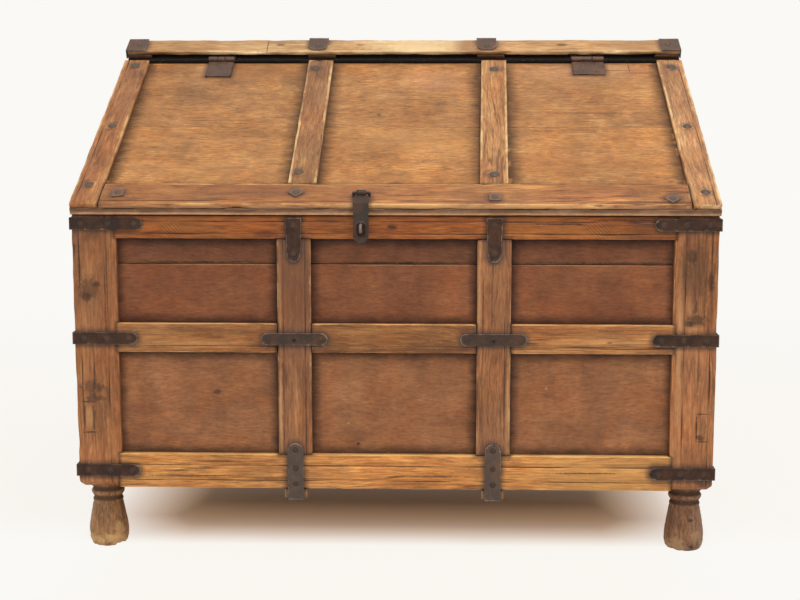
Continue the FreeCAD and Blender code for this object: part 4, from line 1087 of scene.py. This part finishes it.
def forged(node, body, material, name=None, segments=2, taper=0, longer=None, **changes):
    values = {**forge, **changes}
    bm = mergedCopy(node)
    bmesh.ops.dissolve_limit(bm, angle_limit=math.radians(1), verts=bm.verts, edges=bm.edges)
    sharp = [edge for edge in bm.edges if len(edge.link_faces) == 2
             and edge.calc_face_angle(0) > math.radians(values["sharp"])]
    bmesh.ops.bevel(bm, geom=sharp, offset=values["arris"] * mm, segments=segments, profile=0.5,
                    affect="EDGES", material=-1, clamp_overlap=True)
    splitWide(bm)
    for step in range(values["passes"]):
        tooLong = [edge for edge in bm.edges if edge.calc_length() > values["step"] * mm]
        if tooLong:
            bmesh.ops.subdivide_edges(bm, edges=tooLong, cuts=1)
            splitWide(bm)
    wearLayer = bm.verts.layers.float.new("wear")
    bm.normal_update()
    # Sharp arrises take the bright colour: worn metal and a painted highlight
    for vert in bm.verts:
        angles = [edge.calc_face_angle(0) for edge in vert.link_edges if len(edge.link_faces) == 2]
        vert[wearLayer] = min(1.0, max(angles, default=0) * 1.1)
    low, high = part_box(node)
    for vert in bm.verts:
        uneven = 0.5 + 0.5 * noise.noise(vert.co * values["dentScale"])
        vert.co -= vert.normal * uneven * values["dent"] * mm
        if taper:
            tapered(vert.co, low, high, taper)
        drawnOut(vert.co, longer)
    seated(finishMesh(bm, name or pieceName(node)), body, node, material)


# Bright colour of the straps' arrises: worn metal and a painted highlight
strapBright = (0.3, 0.235, 0.19)
# Dark spots at the crossing straps' centres: painted shade of empty nail holes
strapHoles = frontMarks((-155, 338, 2.6, 2.6, 1, "grime", 0.2), (155, 338, 2.6, 2.6, 1, "grime", 0.2))
# Dark, rust and bright colours of each iron; the bright one on the sharp arrises is worn metal and a
# painted highlight
irons = {name: iron(name, *values) for name, values in {
    "strapIron": ((0.034, 0.017, 0.011), (0.09, 0.038, 0.019), strapBright),
    "crossIron": ((0.046, 0.03, 0.023), (0.11, 0.052, 0.028), strapBright, strapHoles),
    "lowIron": ((0.078, 0.056, 0.044), (0.15, 0.08, 0.046), strapBright),
    "haspIron": ((0.042, 0.031, 0.026), (0.09, 0.045, 0.028), (0.26, 0.22, 0.19)),
    "nailIron": ((0.085, 0.068, 0.056), (0.15, 0.09, 0.055), (0.36, 0.31, 0.26)),
    "hingeIron": ((0.09, 0.055, 0.042), (0.19, 0.095, 0.055), (0.28, 0.21, 0.17)),
    "washerIron": ((0.14, 0.09, 0.062), (0.22, 0.12, 0.07), (0.5, 0.39, 0.29)),
    "brightIron": ((0.17, 0.15, 0.13), (0.2, 0.15, 0.11), (0.4, 0.36, 0.32)),
}.items()}

# Each forged piece: its iron, its body and how it differs
strap = {"arris": 1.6, "segments": 1}
longStrap = {"from": 500, "start": -480, "end": -415, "by": 12}
forgedPieces = {
    "left_front_straps": ("strapIron", "carcase", {**strap, "longer": longStrap}),
    "right_front_straps": ("strapIron", "carcase", strap),
    "left_back_straps": ("strapIron", "carcase", strap),
    "right_back_straps": ("strapIron", "carcase", strap),
    "crossing_straps": ("crossIron", "carcase", strap),
    "muntin_top_straps": ("strapIron", "carcase", {**strap, "taper": 0.2}),
    "muntin_bottom_straps": ("lowIron", "carcase", strap),
    "top_strip_tongues": ("hingeIron", "carcase", strap),
    "corner_plates": ("hingeIron", "carcase", strap),
    "hasp": ("haspIron", "hasp", {"name": "haspPlate", "arris": 0.8, "dent": 0.25}),
    "lid_nails": ("nailIron", "lid", {"arris": 0.5, "dent": 0.2}),
    "lid_washers": ("washerIron", "lid", {"arris": 1.3, "dent": 0.15}),
    "hinge_lid_leaves": ("hingeIron", "lid", {"arris": 0.5, "dent": 0.2}),
    "hinge_lid_nails": ("nailIron", "lid", {"arris": 0.4, "dent": 0.1}),
}
for node, (metal, body, values) in forgedPieces.items():
    forged(node, body, irons[metal], **values)
keptPieces = {"lock_staple": "brightIron", "hasp_staple": "haspIron", "hinge_pins": "hingeIron",
              "hinge_fixed_leaves": "hingeIron", "roof_nails": "nailIron"}
for node, metal in keptPieces.items():
    cadNodes[node].data.materials.clear()
    cadNodes[node].data.materials.append(irons[metal])

# Strap nails, hammered nearly flat: the straps that they lie on, the axis out of them and its sign
flatNails = {"height": 0.15, "wear": 0.3}
strapNails = {
    "front_strap_nails": ("crossing_straps", 1, -1),
    "back_strap_nails": ("left_back_straps", 1, 1),
    "left_side_nails": ("left_front_straps", 0, -1),
    "right_side_nails": ("right_front_straps", 0, 1),
}
for node, (straps, axis, sign) in strapNails.items():
    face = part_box(straps)[sign > 0][axis]
    bm = mergedCopy(node)
    wearLayer = bm.verts.layers.float.new("wear")
    for vert in bm.verts:
        proud = (vert.co[axis] - face) * sign
        if proud > 0:
            vert.co[axis] = face + proud * flatNails["height"] * sign
            vert[wearLayer] = flatNails["wear"]
        if sign < 0:
            drawnOut(vert.co, longStrap)
    seated(finishMesh(bm, pieceName(node)), "carcase", node, irons["crossIron"])
print("ironwork made")

# Floor that curves up into a backdrop, in metres. White fades in over the spans behind, beside and
# before the chest; between them the floor keeps its shadow. Under the chest a painted warm tint on the
# floor and a painted warm glow that the camera sees stand in for light bounced off the chest, lifting
# the shadow a little
studio = {
    "width": 14.0,
    "front": -6.0,
    "back": 2.6,
    "bend": 1.8,
    "bendSteps": 24,
    "height": 6.0,
    "floorColor": (0.93, 0.925, 0.91),
    "whiteColor": (0.955, 0.946, 0.914),
    "whiteBehind": (0.3, 2.4),
    "whiteBeside": (0.34, 0.52),
    "whiteBefore": (-0.05, -0.21),
    "shadowKept": 0.06,
    # Painted warm tint on the floor under the chest, standing in for light bounced off the chest
    "warmColor": (0.93, 0.72, 0.48),
    "warmWidth": (0.36, 0.5),
    "warmFront": (-0.28, -0.12),
    "warmBack": (0.05, 0.24),
    # Painted glow under the chest, seen directly, standing in for light bounced off the chest
    "underColor": (0.92, 0.58, 0.35),
    "underGlow": 0.34,
    "underWidth": (0.38, 0.52),
    "underFront": (-0.3, -0.2),
    "underBack": (-0.13, 0.04),
    "floorRoughness": 0.9,
    "floorSpecular": 0.1,
    "worldColor": (1.0, 0.985, 0.965),
    "worldLevel": 0.55,
}
lamps = {
    "keyLamp": {"place": (0.7, -1.6, 3.1), "size": 2.2, "power": 75},
    "fillLamp": {"place": (-2.6, -2.4, 1.7), "size": 2.4, "power": 22},
}
lampTarget = (0, 0, 0.4)


def seenDirectly(tree):
    rays = add(tree, "LightPath", output="all")
    seen = rays["Is Camera Ray"] + rays["Is Glossy Ray"]
    return seen.math("ADD", rays["Is Transmission Ray"], clamp=True)


def edgesOf(items):
    return [item for item in items if isinstance(item, bmesh.types.BMEdge)]


def vertsOf(items):
    return [item for item in items if isinstance(item, bmesh.types.BMVert)]


def makeBackdrop():
    bm = bmesh.new()
    half = studio["width"] / 2
    start = [bm.verts.new((side * half, studio["front"], 0)) for side in (-1, 1)]
    grown = bmesh.ops.extrude_edge_only(bm, edges=[bm.edges.new(start)])["geom"]
    moved = vertsOf(grown)
    bmesh.ops.translate(bm, verts=moved, vec=(0, studio["back"] - studio["front"], 0))
    rim = [edge for edge in edgesOf(grown) if set(edge.verts) == set(moved)]
    bent = bmesh.ops.spin(bm, geom=moved + rim, cent=(0, studio["back"], studio["bend"]),
                          axis=(1, 0, 0), angle=math.pi / 2, steps=studio["bendSteps"])["geom_last"]
    raised = bmesh.ops.extrude_edge_only(bm, edges=edgesOf(bent))["geom"]
    bmesh.ops.translate(bm, verts=vertsOf(raised), vec=(0, 0, studio["height"]))
    made = finishMesh(bm, "backdrop")
    material, tree, place = newMaterial("backdrop")
    surface = tree.nodes["Principled BSDF"]
    spot = add(tree, "SeparateXYZ", {0: place}, "all")
    beside, level, kept = abs(spot["X"]), spot["Y"], studio["shadowKept"]
    bare = ramp(level, *studio["whiteBehind"], 1, 0) * ramp(beside, *studio["whiteBeside"], 1, kept)
    white = 1 - bare * ramp(level, *studio["whiteBefore"], 1, kept)
    # Painted glow and painted warm tint under the chest, standing in for bounced light
    paintedGlowShare = ramp(beside, *studio["underWidth"], 1, 0) * ramp(level, *studio["underFront"])
    paintedGlowShare *= ramp(level, *studio["underBack"], studio["underGlow"], 0)
    paintedWarmTint = ramp(beside, *studio["warmWidth"], 1, 0) * ramp(level, *studio["warmFront"])
    paintedWarmTint *= ramp(level, *studio["warmBack"], 1, 0)
    glowing = mix(white, shade(studio["underColor"]), shade(studio["whiteColor"]))
    glow = add(tree, "Emission", {"Color": glowing, "Strength": 1.0})
    share = white.math("MAXIMUM", paintedGlowShare) * seenDirectly(tree)
    both = add(tree, "MixShader", {0: share, 1: Value(tree, surface.outputs[0]), 2: glow})
    wire(tree, tree.nodes["Material Output"].inputs, {"Surface": both})
    wire(tree, surface.inputs, {
        "Base Color": mix(paintedWarmTint, shade(studio["floorColor"]), shade(studio["warmColor"])),
        "Roughness": studio["floorRoughness"], "Specular IOR Level": studio["floorSpecular"]})
    made.data.materials.append(material)


def aim(made, place, target):
    bpy.context.scene.collection.objects.link(made)
    made.location = place
    made.rotation_euler = (Vector(target) - Vector(place)).to_track_quat("-Z", "Y").to_euler()


makeBackdrop()
for name, values in lamps.items():
    light = bpy.data.lights.new(name, "AREA")
    light.shape = "DISK"
    light.size = values["size"]
    light.energy = values["power"]
    aim(bpy.data.objects.new(name, light), values["place"], lampTarget)

world = bpy.data.worlds.new("studio")
world.use_nodes = True
tree = world.node_tree
light = shade([part * studio["worldLevel"] for part in studio["worldColor"]])
wire(tree, tree.nodes["Background"].inputs,
     {"Color": mix(seenDirectly(tree), light, shade(studio["whiteColor"]))})
bpy.context.scene.world = world
bpy.context.scene.view_settings.view_transform = "Standard"

# Camera at the photograph's place, in millimetres
view = {"place": (77.3, -2534.8, 732.5), "target": (9.5, -237.5, 401.7), "lens": 67.5, "sensor": 36}
camera = bpy.data.objects.new("camera", bpy.data.cameras.new("camera"))
camera.data.lens = view["lens"]
camera.data.sensor_width = view["sensor"]
aim(camera, Vector(view["place"]) * mm, Vector(view["target"]) * mm)
bpy.context.scene.camera = camera
print("studio made")
